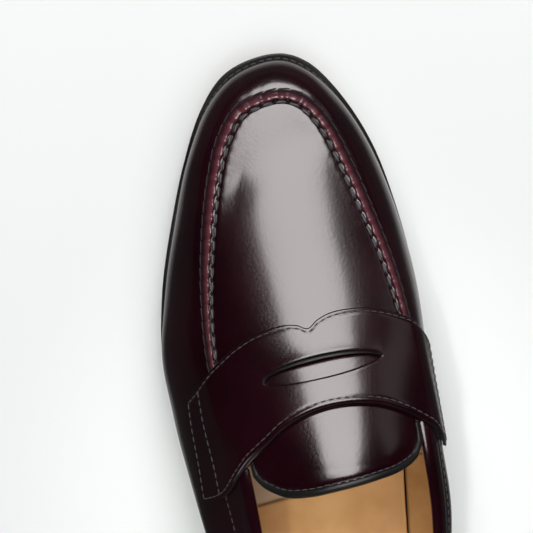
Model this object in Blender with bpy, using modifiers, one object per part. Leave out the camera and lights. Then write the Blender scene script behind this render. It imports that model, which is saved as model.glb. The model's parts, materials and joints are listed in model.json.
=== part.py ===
"""Penny loafer, left foot, on a Goodyear-welted leather sole.

Frame: the shoe stands on z = 0, toe towards -Y, heel towards +Y, outer (lateral) side towards +X.
All sizes below are in millimetres; MM turns them into metres where a mesh is made.
"""
import math

import bmesh
import bpy
import numpy as np
from mathutils import Matrix, Vector

MM = 0.001

# ---------------------------------------------------------------- overall sizes of the shoe
SHOE_LENGTH = 298.0        # outsole, toe to heel
BALL_WIDTH = 107.8         # outsole across the ball of the foot
INSTEP_RISE = 1.0          # 1 = standard instep; scales the height of the upper above the welt
HEEL_HEIGHT = 24.0         # floor to the underside of the outsole at the heel seat
TOE_SPRING = 9.0           # how far the tip of the outsole lifts off the floor

# ---------------------------------------------------------------- sole
OUTSOLE = 5.0              # leather outsole
WELT = 3.0                 # welt and heel rand
WELT_INNER = 12.0          # how far the welt reaches in under the upper
RIB_WIDTH = 1.6            # canvas rib that the welt is sewn to
INSOLE = 3.0
SOCK = 1.2
HEEL_PAD = 1.5
SHANK_WIDTH = 14.0
SHANK_THICK = 1.4
HEEL_LIFTS = 3
TOP_PIECE = 6.0            # rubber top piece
HEEL_TAPER = 0.6           # each heel layer is this much smaller than the one above
HEEL_BREAST = 222.0        # front face of the heel, from the toe
BREAST_HOLLOW = 3.0        # how far the breast curves in at its middle
SPRING_END = 90.0          # where the toe spring ends
WAIST_START = 122.0        # where the sole starts to rise to the heel

# ---------------------------------------------------------------- upper
LEATHER = 1.4
STIFFENER = 0.9            # heel counter and toe puff
LINING = 0.8
STRAP_BACKER = 0.8
GAP = 0.3                  # clearance between pieces that touch
RIDGE_WIDTH = 5.2
RIDGE_HEIGHT = 1.9
BEAD_RADIUS = 1.45         # rolled topline
BINDING_RADIUS = 1.35      # bound edge of the tongue
SLOT_LENGTH = 47.0         # coin slot in the strap, tip to tip
SLOT_FRONT = 5.4           # how far its front edge bows towards the toe
SLOT_REAR = 2.8            # how far its rear edge bows back
SLOT_PLACE = (128.6, -1.5, -0.10)      # middle of the slot (along, across) and its slant
STAY_WIDTH = 15.0          # back stay
SOCK_FRONT = 184.0         # front edge of the half sock
PAD_START = 228.0          # front edge of the heel pad

# ---------------------------------------------------------------- tongue
APRON_CORNER = 8.0         # the apron's rear corners are cut back this far under the strap
HALF_THROAT = 36.0         # half the apron's width at the throat, as drafted
TONGUE_CLEAR = (1.6, 0.2)  # free space between tongue binding and topline: lateral, medial
TONGUE_GAP = 0.6           # slit between the strap's rear edge and the hinged part of the tongue

# ---------------------------------------------------------------- the last
# One row for each station round the shoe, from the toe down the lateral side, round the heel and back:
# outsole edge (along, across), inset of the feather line, top line of the wall (along, across, rise above the welt),
# wall bulge at the foot (out, up), roll of the wall into the top line (out, down).
LAST = (
    (0.0, 1.5, 2.7, 19.2, 3.0, 21.8, 0.6, 9.0, 6.0, 1.6),
    (5.2, 20.5, 2.6, 23.0, 17.0, 22.9, 0.9, 9.5, 6.0, 1.6),
    (19.0, 34.2, 2.4, 32.5, 25.0, 25.1, 1.6, 11.0, 6.4, 2.0),
    (40.0, 44.2, 2.2, 46.0, 30.6, 28.4, 2.2, 14.0, 7.0, 2.4),
    (66.0, 52.4, 2.1, 67.0, 35.8, 33.2, 2.6, 16.0, 8.0, 3.2),
    (92.0, 59.1, 2.1, 91.0, 39.5, 38.0, 5.0, 17.0, 9.4, 4.8),
    (118.0, 62.3, 2.2, 116.0, 40.8, 44.0, 10.0, 18.0, 11.0, 6.6),
    (142.0, 60.6, 2.4, 140.0, 38.8, 48.9, 10.0, 16.0, 11.0, 9.0),
    (166.0, 55.6, 2.4, 163.0, 34.6, 49.2, 12.0, 14.0, 10.0, 11.5),
    (192.0, 48.6, 2.2, 189.0, 32.6, 40.5, 15.0, 13.0, 9.0, 14.5),
    (218.0, 43.3, 2.0, 215.0, 32.0, 37.1, 11.0, 14.0, 7.0, 15.0),
    (244.0, 41.4, 1.6, 240.0, 31.0, 43.0, 6.5, 17.0, 5.6, 16.0),
    (267.0, 38.7, 1.4, 262.0, 26.4, 50.8, 3.4, 19.0, 4.8, 17.0),
    (286.0, 28.6, 1.4, 279.5, 17.4, 57.0, 4.6, 20.0, 5.4, 18.0),
    (297.2, 5.0, 1.4, 287.6, 5.0, 59.4, 6.2, 21.0, 5.4, 19.0),
    (286.0, -18.6, 1.4, 279.5, -8.0, 57.6, 4.6, 20.0, 5.4, 18.0),
    (267.0, -28.5, 1.4, 262.0, -19.0, 52.2, 3.8, 19.0, 5.4, 17.0),
    (244.0, -31.3, 1.6, 240.0, -28.4, 45.4, 7.0, 18.0, 6.4, 16.0),
    (218.0, -31.8, 1.8, 215.0, -35.0, 40.3, 12.5, 16.0, 7.6, 15.0),
    (192.0, -33.2, 1.6, 189.0, -38.8, 43.9, 16.0, 14.0, 9.0, 15.5),
    (166.0, -36.1, 1.4, 163.0, -38.6, 52.4, 12.0, 15.0, 9.4, 13.0),
    (140.0, -40.2, 1.2, 139.0, -37.8, 51.6, 8.0, 17.0, 8.4, 9.0),
    (116.0, -44.2, 1.1, 116.0, -36.6, 46.0, 4.6, 18.0, 6.6, 4.6),
    (92.0, -45.0, 1.2, 93.0, -33.5, 39.4, 2.4, 17.0, 6.4, 3.6),
    (66.0, -41.2, 1.4, 70.0, -27.8, 34.0, 2.0, 16.0, 6.4, 3.0),
    (42.0, -35.1, 1.8, 49.0, -21.6, 29.1, 1.8, 14.0, 6.0, 2.4),
    (20.0, -24.9, 2.2, 33.0, -15.6, 25.4, 1.4, 11.0, 6.0, 2.0),
    (5.4, -12.2, 2.6, 22.4, -7.4, 22.7, 0.9, 9.5, 6.0, 1.6),
)
LAST_LENGTH = 297.2        # size at which the rows above were drafted
LAST_WIDTH = 107.8
TOE = 0                    # row at the tip of the toe
HEEL = 14                  # row at the back of the heel
THROAT = 163.0             # station where the apron seam becomes the topline

# crown of the apron above its two edges: (station, height)
CROWN = ((16.0, 0.0), (22.0, 0.8), (32.0, 2.2), (56.0, 5.0), (92.0, 9.2),
         (112.0, 11.6), (130.0, 14.6), (150.0, 18.2), (163.0, 20.4), (176.0, 22.0))

# edges of the strap on the upper: position across (0 = middle, 1 = apron edge, 2 = feather line,
# minus on the medial side) and station along the shoe
STRAP_FRONT = ((1.31, 133.4), (1.16, 129.0), (0.94, 122.5), (0.72, 116.4), (0.50, 112.4), (0.24, 110.4),
               (0.10, 111.2), (0.0, 113.6), (-0.10, 110.0), (-0.24, 107.8), (-0.40, 107.2), (-0.62, 107.8),
               (-0.84, 110.4), (-1.06, 114.6), (-1.28, 119.0), (-1.42, 122.6))
# free edge of the tongue: share of its half width (minus = medial side) and station
TONGUE_REAR = ((-1.0, 158.5), (-0.91, 162.6), (-0.70, 165.4), (-0.45, 166.6), (-0.17, 167.6), (0.13, 168.4),
               (0.45, 169.2), (0.69, 168.6), (0.88, 166.4), (0.95, 165.0), (1.0, 163.4))
STRAP_REAR = ((1.31, 174.4), (1.16, 172.4), (1.0, 166.0), (0.85, 160.2), (0.62, 153.6), (0.42, 148.0),
              (0.22, 144.2), (0.02, 142.0), (-0.18, 141.4), (-0.40, 142.2), (-0.60, 144.4), (-0.80, 148.8),
              (-1.0, 155.0), (-1.24, 161.6), (-1.42, 164.6))
STRAP_FLARE = (0.42, 0.0)   # how much further the strap's ends reach down the wall at the rear

# ---------------------------------------------------------------- colours: base colour, roughness, metallic
FINISHES = {
    "upper": ((0.055, 0.008, 0.016), 0.22, 0.0),
    "edge": ((0.012, 0.011, 0.012), 0.45, 0.0),
    "lining": ((0.56, 0.32, 0.13), 0.6, 0.0),
    "sole": ((0.42, 0.24, 0.12), 0.6, 0.0),
    "rubber": ((0.015, 0.015, 0.015), 0.8, 0.0),
    "cork": ((0.45, 0.28, 0.14), 0.9, 0.0),
    "canvas": ((0.62, 0.56, 0.44), 0.95, 0.0),
    "steel": ((0.55, 0.55, 0.56), 0.35, 1.0),
    "foam": ((0.75, 0.72, 0.62), 0.95, 0.0),
}

ROWS = len(LAST)
GRADE_LONG = SHOE_LENGTH / LAST_LENGTH
GRADE_WIDE = BALL_WIDTH / LAST_WIDTH
UP = np.array((0.0, 0.0, 1.0))

for leftover in list(bpy.data.objects):
    bpy.data.objects.remove(leftover, do_unlink=True)


def new_collection(name):
    """Make a collection under the scene."""
    made = bpy.data.collections.new(name)
    bpy.context.scene.collection.children.link(made)
    return made


LOAFER = new_collection("penny_loafer")
CUTTERS = new_collection("cutters")


# ---------------------------------------------------------------- curves and surfaces of the last
def unit(vector):
    """Vector of length one."""
    return vector / max(np.linalg.norm(vector), 1e-9)


def smooth(low, high, value):
    """Rise from 0 at low to 1 at high with level ends."""
    t = min(max((value - low) / (high - low), 0.0), 1.0)
    return t * t * (3.0 - 2.0 * t)


def spline(knots, position):
    """Value at a position of a smooth curve through (position, value) knots in rising order."""
    xs = [knot[0] for knot in knots]
    ys = [knot[1] for knot in knots]
    position = min(max(position, xs[0]), xs[-1])
    i = min(max(int(np.searchsorted(xs, position)) - 1, 0), len(xs) - 2)
    slopes = [(ys[min(k + 1, len(ys) - 1)] - ys[max(k - 1, 0)]) / (xs[min(k + 1, len(xs) - 1)] - xs[max(k - 1, 0)])
              for k in (i, i + 1)]
    width = xs[i + 1] - xs[i]
    t = (position - xs[i]) / width
    blend = (2 * t**3 - 3 * t**2 + 1, t**3 - 2 * t**2 + t, -2 * t**3 + 3 * t**2, t**3 - t**2)
    return blend[0] * ys[i] + blend[1] * width * slopes[0] + blend[2] * ys[i + 1] + blend[3] * width * slopes[1]


def last_row(u):
    """All measures of the last at ring position u, where whole numbers are the rows of LAST."""
    i = int(math.floor(u))
    t = u - i
    p = [np.array(LAST[(i + k) % ROWS]) for k in (-1, 0, 1, 2)]
    t1 = (p[2] - p[0]) * 0.5
    t2 = (p[3] - p[1]) * 0.5
    row = ((2 * t**3 - 3 * t**2 + 1) * p[1] + (t**3 - 2 * t**2 + t) * t1
           + (-2 * t**3 + 3 * t**2) * p[2] + (t**3 - t**2) * t2)
    row[[0, 3]] *= GRADE_LONG
    row[[1, 4]] *= GRADE_WIDE
    return row


def sole_height(along):
    """Height of the underside of the outsole above the floor."""
    spring = TOE_SPRING * (max(SPRING_END - along, 0.0) / SPRING_END) ** 2
    return spring + HEEL_HEIGHT * smooth(WAIST_START, HEEL_BREAST, along)


FOOT = OUTSOLE + GAP + WELT + GAP      # height of the feather line above the underside of the outsole


def edge_normal(u):
    """Level direction pointing out of the sole edge at ring position u."""
    step = last_row(u + 0.02)[:2] - last_row(u - 0.02)[:2]
    return unit(np.array((-step[1], step[0])))


def outline(u, inset):
    """Point (along, across) of the sole edge moved in by inset."""
    return last_row(u)[:2] - edge_normal(u) * inset


def top_line(u):
    """Point of the line where the wall of the upper ends: apron seam in front, topline behind."""
    row = last_row(u)
    return np.array((row[3], row[4], sole_height(row[3]) + FOOT + row[5] * INSTEP_RISE))


def wall(u, v):
    """Outer surface of the upper between the feather line (v = 0) and the top line (v = 1)."""
    row = last_row(u)
    foot = row[:2] - edge_normal(u) * row[2]
    out = np.append(edge_normal(u), 0.0)
    p0 = np.append(foot, sole_height(foot[0]) + FOOT)
    p3 = top_line(u)
    p1 = p0 + out * row[6] + UP * row[7] * INSTEP_RISE
    p2 = p3 + out * row[8] - UP * row[9] * INSTEP_RISE
    return ((1 - v) ** 3 * p0 + 3 * v * (1 - v) ** 2 * p1 + 3 * v**2 * (1 - v) * p2 + v**3 * p3)


def wall_normal(u, v):
    """Direction pointing out of the upper's wall."""
    du = wall(u + 0.02, v) - wall(u - 0.02, v)
    dv = wall(u, min(v + 0.02, 1.0)) - wall(u, max(v - 0.02, 0.0))
    return unit(np.cross(dv, du))


def side_of_last(side):
    """Samples (station, ring position) down one side, from the toe to the heel."""
    span = HEEL - TOE if side > 0 else ROWS - HEEL
    samples = []
    for k in range(span * 12 + 1):
        u = TOE + k / 12.0 if side > 0 else ROWS - k / 12.0
        samples.append((top_line(u)[0], u))
    return samples


SIDES = {1: side_of_last(1), -1: side_of_last(-1)}


def ring_at(station, side):
    """Ring position where the top line of one side passes a station."""
    samples = SIDES[side]
    return float(np.interp(station, [s[0] for s in samples], [s[1] for s in samples]))


def crown_height(station):
    """How far the middle of the apron stands above its edges."""
    return spline(CROWN, station / GRADE_LONG) * INSTEP_RISE


def throat_edges(station):
    """Lateral and medial edges of the apron at a station; behind the throat they run on straight."""
    last = THROAT * GRADE_LONG
    edges = [top_line(ring_at(min(station, last), side)) for side in (1, -1)]
    if station > last:
        for k, side in enumerate((1, -1)):
            run = edges[k] - top_line(ring_at(last - 12.0, side))
            edges[k] = edges[k] + run / run[0] * (station - last)
    return edges


def apron_point(station, across):
    """Outer surface of the apron and tongue; across runs from -1 (medial edge) to 1 (lateral edge)."""
    lateral, medial = throat_edges(station)
    point = (lateral * (1 + across) + medial * (1 - across)) / 2
    point[2] += crown_height(station) * (1 - across * across)
    return point


def apron_above(station, x):
    """Point of the apron's surface over a place given in plan."""
    lateral, medial = throat_edges(station)
    half = max((lateral[1] - medial[1]) / 2, 1.0)
    across = min(max((x - (lateral[1] + medial[1]) / 2) / half, -1.0), 1.0)
    return np.array((station, x, apron_point(station, across)[2]))


def body_point(station, across):
    """Outer surface over the whole section: beyond 1 and -1 it runs down the walls."""
    if abs(across) <= 1.0:
        return apron_point(station, across)
    side = 1 if across > 0 else -1
    return wall(ring_at(station, side), 2.0 - abs(across))


def body_normal(station, across):
    """Direction pointing out of the section surface."""
    ds = body_point(station + 0.8, across) - body_point(station - 0.8, across)
    da = body_point(station, across + 0.03) - body_point(station, across - 0.03)
    return unit(np.cross(ds, da))


# ---------------------------------------------------------------- making objects
def to_world(point):
    """Last coordinates (along, across, up) in mm to the shoe's own frame in metres."""
    return Vector((point[1] - CENTRE[1], point[0] - CENTRE[0], point[2])) * MM


def finish_mesh(mesh, finish):
    """Give a mesh its material and smooth faces."""
    if finish not in bpy.data.materials:
        colour, roughness, metallic = FINISHES[finish]
        made = bpy.data.materials.new(finish)
        made.use_nodes = True
        shader = made.node_tree.nodes["Principled BSDF"]
        shader.inputs["Base Color"].default_value = (*colour, 1.0)
        shader.inputs["Roughness"].default_value = roughness
        shader.inputs["Metallic"].default_value = metallic
    mesh.materials.append(bpy.data.materials[finish])
    mesh.shade_smooth()
    mesh.set_sharp_from_angle(angle=math.radians(40))


def new_object(name, mesh, finish, collection=LOAFER):
    """Link a mesh to the scene as a named piece."""
    finish_mesh(mesh, finish)
    made = bpy.data.objects.new(name, mesh)
    collection.objects.link(made)
    return made


def sheet_piece(name, rows, thickness, finish):
    """A piece of leather: an open surface, its outer face given row by row, thickened inwards."""
    wide = len(rows[0])
    verts = [to_world(point) for row in rows for point in row]
    faces = [(r * wide + c, r * wide + c + 1, (r + 1) * wide + c + 1, (r + 1) * wide + c)
             for r in range(len(rows) - 1) for c in range(wide - 1)]
    mesh = bpy.data.meshes.new(name)
    mesh.from_pydata(verts, [], faces)
    mesh.update()
    made = new_object(name, mesh, finish)
    wall_modifier = made.modifiers.new("thickness", "SOLIDIFY")
    wall_modifier.thickness = thickness * MM
    wall_modifier.offset = -1.0
    wall_modifier.use_rim = True
    return made


def loft_piece(name, sections, finish, closed=False, collection=LOAFER):
    """A solid lofted through closed sections; open runs are capped at both ends."""
    count = len(sections[0])
    verts = [to_world(point) for section in sections for point in section]
    faces = []
    runs = len(sections) if closed else len(sections) - 1
    for r in range(runs):
        n = (r + 1) % len(sections)
        faces += [(r * count + c, r * count + (c + 1) % count, n * count + (c + 1) % count, n * count + c)
                  for c in range(count)]
    if not closed:
        faces.append(tuple(reversed(range(count))))
        faces.append(tuple(range((len(sections) - 1) * count, len(sections) * count)))
    mesh = bpy.data.meshes.new(name)
    mesh.from_pydata(verts, [], faces)
    work = bmesh.new()
    work.from_mesh(mesh)
    bmesh.ops.recalc_face_normals(work, faces=work.faces)
    work.to_mesh(mesh)
    work.free()
    return new_object(name, mesh, finish, collection)


def steps(low, high, count):
    """Evenly spaced values, both ends included."""
    return [low + (high - low) * k / count for k in range(count + 1)]


STATION_STEP = 8.0
END_STEPS = (0.0, 0.35, 1.3, 2.9, 5.2)


def stations(low, high, round_low, round_high):
    """Cross-section stations, on one common grid with closer steps at a round end."""
    step = STATION_STEP * GRADE_LONG
    grid = [step * k for k in range(int(high / step) + 2)]
    start = [low + d for d in END_STEPS] if round_low else [low]
    end = [high - d for d in reversed(END_STEPS)] if round_high else [high]
    middle = [s for s in grid if start[-1] + 1.5 < s < end[0] - 1.5]
    return start + middle + end


def plan_edge(inset, side):
    """One edge of an inset outline as (station, across) samples that run steadily from toe to heel."""
    span = HEEL - TOE if side > 0 else HEEL - ROWS
    start = TOE if side > 0 else ROWS
    samples = [outline(start + span * k / 240.0, inset) for k in range(241)]
    steady = [samples[0]]
    for sample in samples[1:]:
        if sample[0] > steady[-1][0] + 1e-4:
            steady.append(sample)
    return np.array(steady)


def plan_width(edges, station):
    """Across positions (lateral, medial) of both edges at a station."""
    return [float(np.interp(station, edge[:, 0], edge[:, 1])) for edge in edges]


def plate(name, inset, bottom, top, finish, low=None, high=None, bow=0.0, collection=LOAFER):
    """A flat piece of the bottom stock: an inset sole outline between two heights above the sole line."""
    edges = (plan_edge(inset, 1), plan_edge(inset, -1))
    places = np.arange(0.0, SHOE_LENGTH + 1.0, 0.05)
    solid = [s for s in places if min(e[0, 0] for e in edges) < s < max(e[-1, 0] for e in edges)
             and np.subtract(*plan_width(edges, s)) > 1.0]
    first = solid[0] if low is None else low
    final = solid[-1] if high is None else high
    columns = (-1.0, -0.5, 0.0, 0.5, 1.0)
    rows_low, rows_high = [], []
    for s in stations(first, final, low is None, high is None):
        x_out, x_in = plan_width(edges, s)
        hollow = bow * (1 - smooth(first, first + 30.0, s))
        row_low, row_high = [], []
        for q in columns:
            place = s + hollow * (1 - q * q)
            x = (x_out + x_in) / 2 + q * (x_out - x_in) / 2
            row_low.append(np.array((place, x, bottom(place))))
            row_high.append(np.array((place, x, top(place))))
        rows_low.append(row_low)
        rows_high.append(row_high)
    sections = [low_row + list(reversed(high_row)) for low_row, high_row in zip(rows_low, rows_high)]
    return loft_piece(name, sections, finish, collection=collection)


def above_sole(height):
    """Height function: a constant distance above the underside of the outsole."""
    return lambda along: sole_height(along) + height


def at_height(height):
    """Height function: level."""
    return lambda along: height


def strip_round(name, ring, inset_out, inset_in, bottom, top, finish):
    """A strip that follows the sole edge: a rectangular section run along ring positions."""
    sections = []
    for u in ring:
        outer = outline(u, inset_out)
        inner = outline(u, inset_in)
        sections.append([np.append(outer, bottom(outer[0])), np.append(inner, bottom(inner[0])),
                         np.append(inner, top(inner[0])), np.append(outer, top(outer[0]))])
    return loft_piece(name, sections, finish)


def cut(piece, cutter):
    """Take a cutter out of a piece and park the cutter out of sight."""
    cutter.hide_render = True
    cutter.display_type = "WIRE"
    knife = piece.modifiers.new("cut_" + cutter.name, "BOOLEAN")
    knife.operation = "DIFFERENCE"
    knife.object = cutter
    knife.solver = "EXACT"


# working origin: middle of the sole's box, on the floor
RING = [outline(k / 8.0, 0.0) for k in range(ROWS * 8)]
CENTRE = (SHOE_LENGTH / 2, (max(p[1] for p in RING) + min(p[1] for p in RING)) / 2)


# ---------------------------------------------------------------- bottom of the shoe
def make_sole():
    """Outsole, welt, heel rand, insole, its rib, the cork bed and the shank."""
    plate("outsole", 0.0, above_sole(0.0), above_sole(OUTSOLE), "sole")
    breast_out = ring_for_edge(HEEL_BREAST, 1)
    breast_in = ring_for_edge(HEEL_BREAST, -1)
    low = OUTSOLE + GAP
    front = steps(breast_in - ROWS, breast_out, 56)
    strip_round("welt", front, 0.2, WELT_INNER, above_sole(low), above_sole(low + WELT), "edge")
    joint = GAP / 20.0
    back = steps(breast_out + joint, breast_in - joint, 30)
    strip_round("heel_rand", back, 0.2, WELT_INNER, above_sole(low), above_sole(low + WELT), "edge")
    rib_outer = WELT_INNER + GAP
    strip_round("insole_rib", front, rib_outer, rib_outer + RIB_WIDTH,
                above_sole(low), above_sole(low + WELT), "canvas")
    bed_inset = rib_outer + RIB_WIDTH + GAP
    bed = plate("cork_filler", bed_inset, above_sole(low), above_sole(low + WELT), "cork",
                high=HEEL_BREAST - GAP)
    plate("seat_filler", bed_inset, above_sole(low), above_sole(low + WELT), "canvas", low=HEEL_BREAST + GAP)
    make_shank(bed, low)
    skin = LEATHER + STIFFENER + LINING + 3 * GAP
    top = FOOT + INSOLE
    plate("insole", 3.1 + skin, above_sole(FOOT), above_sole(top), "sole")


def ring_for_edge(station, side):
    """Ring position where the sole edge of one side passes a station."""
    span = HEEL - TOE if side > 0 else ROWS - HEEL
    ring = [TOE + k / 20.0 if side > 0 else ROWS - k / 20.0 for k in range(span * 20 + 1)]
    return float(np.interp(station, [last_row(u)[0] for u in ring], ring))


def shank_sections(width, clearance, low):
    """Steel strip that bridges the waist, a little wider at its middle."""
    sections = []
    first, final = 134.0 * GRADE_LONG - clearance, HEEL_BREAST - 8.0 + clearance
    for along in steps(first, final, 12):
        t = (along - first) / (final - first)
        half = width / 2 * (0.8 + 0.2 * math.sin(math.pi * t)) + clearance
        middle = 3.5 * GRADE_WIDE
        bottom = sole_height(along) + low + WELT - SHANK_THICK - GAP - clearance
        top = sole_height(along) + low + WELT - GAP + (clearance + 2.0 if clearance else 0.0)
        sections.append([np.array((along, middle + half, bottom)), np.array((along, middle - half, bottom)),
                         np.array((along, middle - half, top)), np.array((along, middle + half, top))])
    return sections


def make_shank(bed, low):
    """Shank, let into the cork bed."""
    loft_piece("shank", shank_sections(SHANK_WIDTH, 0.0, low), "steel")
    pocket = loft_piece("shank_pocket", shank_sections(SHANK_WIDTH, GAP, low), "cork", collection=CUTTERS)
    cut(bed, pocket)


def make_heel():
    """Stacked leather lifts on a rubber top piece."""
    lift = (HEEL_HEIGHT - TOP_PIECE) / HEEL_LIFTS
    for k in range(HEEL_LIFTS):
        top = HEEL_HEIGHT - k * lift - GAP
        plate("heel_lift_%d" % (k + 1), HEEL_TAPER * (k + 1), at_height(top - lift + GAP), at_height(top),
              "edge", low=HEEL_BREAST + HEEL_TAPER * k, bow=BREAST_HOLLOW)
    plate("heel_top_piece", HEEL_TAPER * (HEEL_LIFTS + 1), at_height(0.0), at_height(TOP_PIECE - GAP),
          "rubber", low=HEEL_BREAST + HEEL_TAPER * HEEL_LIFTS, bow=BREAST_HOLLOW)


def make_sock():
    """Half sock of tan leather over a foam heel pad."""
    inset = 2.6 + LEATHER + STIFFENER + 2 * LINING + 4 * GAP
    floor_height = FOOT + INSOLE + GAP
    rise = HEEL_PAD + GAP

    def sock_bottom(along):
        return sole_height(along) + floor_height + rise * smooth(PAD_START - 22.0, PAD_START - 4.0, along)

    plate("heel_pad", inset + 3.0, above_sole(floor_height), above_sole(floor_height + HEEL_PAD), "foam",
          low=PAD_START)
    plate("sock_liner", inset, sock_bottom, lambda along: sock_bottom(along) + SOCK, "lining", low=SOCK_FRONT)


# ---------------------------------------------------------------- upper
AROUND = math.ceil(3 * max(GRADE_LONG, GRADE_WIDE) - 0.01)      # columns for each row of the last
UPRIGHT = (0.0, 0.12, 0.32, 0.54, 0.74, 0.9, 1.0)   # shares of the wall's height


def wall_piece(name, ring, depth, thickness, finish, low=0.0, high=1.0):
    """A piece that follows the wall of the upper at some depth under its outer face."""
    shares = [low] + [v for v in UPRIGHT if low + 0.02 < v < high - 0.02] + [high]
    rows = [[wall(u, v) - wall_normal(u, v) * depth for u in ring] for v in shares]
    return sheet_piece(name, rows, thickness, finish)


def ring_length(u, length, v=1.0):
    """How far a length along the wall is in ring positions, near ring position u at height share v."""
    step = 0.1
    return length * step / np.linalg.norm(wall(u + step / 2, v) - wall(u - step / 2, v))


def ring_span(start, end, per_row=AROUND):
    """Ring positions from start to end on a common grid, so that layers stay parallel."""
    inner = [k / per_row for k in range(math.ceil(start * per_row), math.floor(end * per_row) + 1)]
    inner = [u for u in inner if start + 0.1 < u < end - 0.1]
    return [start] + inner + [end]


def flared(across, flare, t):
    """Place across the section, spread further down the wall towards the rear."""
    beyond = max(abs(across) - 1.0, 0.0) * flare * t
    return across + math.copysign(beyond, across)


def section_piece(name, across, front, rear, lengthwise, depth, thickness, finish, flare=(0.0, 0.0)):
    """A piece that lies over the section surface, between a front and a rear edge."""
    rows = []
    for k in range(lengthwise + 1):
        t = k / lengthwise
        row = []
        for a in across:
            s = front(a) * (1 - t) + rear(a) * t
            place = flared(a, flare[0] if a > 0 else flare[1], t)
            row.append(body_point(s, place) - body_normal(s, place) * depth)
        rows.append(row)
    return sheet_piece(name, rows, thickness, finish)


SEAM = GAP / 2
LAYER_STIFF = LEATHER + GAP
LAYER_LINING = LAYER_STIFF + STIFFENER + GAP
LAYER_GRIP = LAYER_LINING + LINING + GAP


def make_vamp():
    """Vamp with its back seam, the stay over the seam, and the stiffeners inside it."""
    slit = ring_length(HEEL, GAP)
    around = ring_span(HEEL - ROWS + slit, HEEL - slit)
    wall_piece("vamp", around, 0.0, LEATHER, "upper", high=0.992)
    stay = ring_length(HEEL, STAY_WIDTH / 2, 0.5)
    wall_piece("back_stay", steps(HEEL - stay, HEEL + stay, 6), -(LEATHER + GAP), LEATHER, "upper",
               low=0.04, high=0.955)
    counter_end = 3.4
    wall_piece("heel_counter", ring_span(HEEL - counter_end, HEEL + counter_end), LAYER_STIFF, STIFFENER,
               "canvas", low=0.01, high=0.74)
    wall_piece("toe_puff", ring_span(-2.6, 2.4), LAYER_STIFF, STIFFENER, "canvas", low=0.01, high=0.9)


def make_linings():
    """Linings of the vamp, the apron and the quarters, and the grip inside the back."""
    throat_out = ring_at(THROAT * GRADE_LONG + 3.0, 1)
    throat_in = ring_at(THROAT * GRADE_LONG + 3.0, -1)
    seam = ring_length(HEEL, LAYER_LINING * GAP)
    split = ring_length(throat_out, GAP)
    wall_piece("vamp_lining", ring_span(throat_in - ROWS, throat_out), LAYER_LINING, LINING, "lining",
               high=0.96)
    wall_piece("quarter_lining_lateral", ring_span(throat_out + split, HEEL - seam), LAYER_LINING, LINING,
               "lining", high=0.99)
    wall_piece("quarter_lining_medial", ring_span(HEEL + seam, throat_in - split), LAYER_LINING, LINING,
               "lining", high=0.99)
    wall_piece("heel_grip", ring_span(HEEL - 1.9, HEEL + 1.9), LAYER_GRIP, LINING, "lining",
               low=0.16, high=0.95)


def strap_front(across):
    """Station of the strap's front edge."""
    return -spline([(-a, -s) for a, s in STRAP_FRONT], -across) * GRADE_LONG


def strap_rear(across):
    """Station of the strap's rear edge."""
    return -spline([(-a, -s) for a, s in STRAP_REAR], -across) * GRADE_LONG


def tongue_front(across):
    """Station where the hinged tongue starts, just behind the strap."""
    return strap_rear(across) + TONGUE_GAP


def tongue_side(side):
    """Place across the section of the tongue's side edge, clear of the topline bead."""
    beside = 2 * BINDING_RADIUS + BEAD_RADIUS + TONGUE_CLEAR[0 if side > 0 else 1]
    return side * (1.0 - beside / (HALF_THROAT * GRADE_WIDE))


def tongue_rear(across):
    """Station of the tongue's free edge."""
    side = 1 if across > 0 else -1
    return spline(TONGUE_REAR, across / abs(tongue_side(side))) * GRADE_LONG


def apron_rows(end, depth, inset):
    """Rows of the apron's surface from its rear edge to the toe."""
    half = HALF_THROAT * GRADE_WIDE
    tip = top_line(TOE)[0] + inset
    rows = []
    limit = min(end(a) for a in (-1.0, -0.5, 0.0, 0.5, 1.0))
    places = stations(tip, limit, True, False)[:-1]
    columns = steps(-1.0, 1.0, 8)
    for s in places:
        lateral, medial = throat_edges(s)
        reach = 1.0 - inset / max((lateral[1] - medial[1]) / 2, half * 0.1)
        rows.append([body_point(s, q * reach) - body_normal(s, q * reach) * depth for q in columns])
    reach = 1.0 - inset / half
    last_place = places[-1]
    for t in (0.25, 0.5, 0.75, 1.0):
        row = []
        for q in columns:
            s = last_place + (end(q) - last_place) * t
            row.append(body_point(s, q * reach) - body_normal(s, q * reach) * depth)
        rows.append(row)
    return rows


def make_apron():
    """Apron, its lining, and the ridge where it is sewn to the vamp."""
    def apron_end(across):
        return strap_rear(across) - GAP - APRON_CORNER * smooth(0.75, 1.0, abs(across))

    sheet_piece("apron", apron_rows(apron_end, 0.0, 0.7), LEATHER, "upper")
    sheet_piece("apron_lining", apron_rows(lambda a: apron_end(a) - 1.0, LAYER_LINING, 5.5), LINING, "lining")
    make_ridge()


def over_seam(u, inward, height):
    """Point near the apron seam: some way in over the apron, or out over the wall, and above it."""
    top = top_line(u)
    if inward >= 0:
        plan = top[:2] - edge_normal_top(u) * inward
        base = apron_above(plan[0], plan[1])
    else:
        reach = np.linalg.norm((last_row(u)[8], last_row(u)[9]))
        base = wall(u, 1.0 + inward / (3.0 * reach))
    tilt = unit(wall_normal(u, 0.97) + UP * 0.6)
    return base + tilt * height


def edge_normal_top(u):
    """Level direction pointing out of the top line at ring position u."""
    step = top_line(u + 0.02)[:2] - top_line(u - 0.02)[:2]
    return unit(np.array((-step[1], step[0])))


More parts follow.
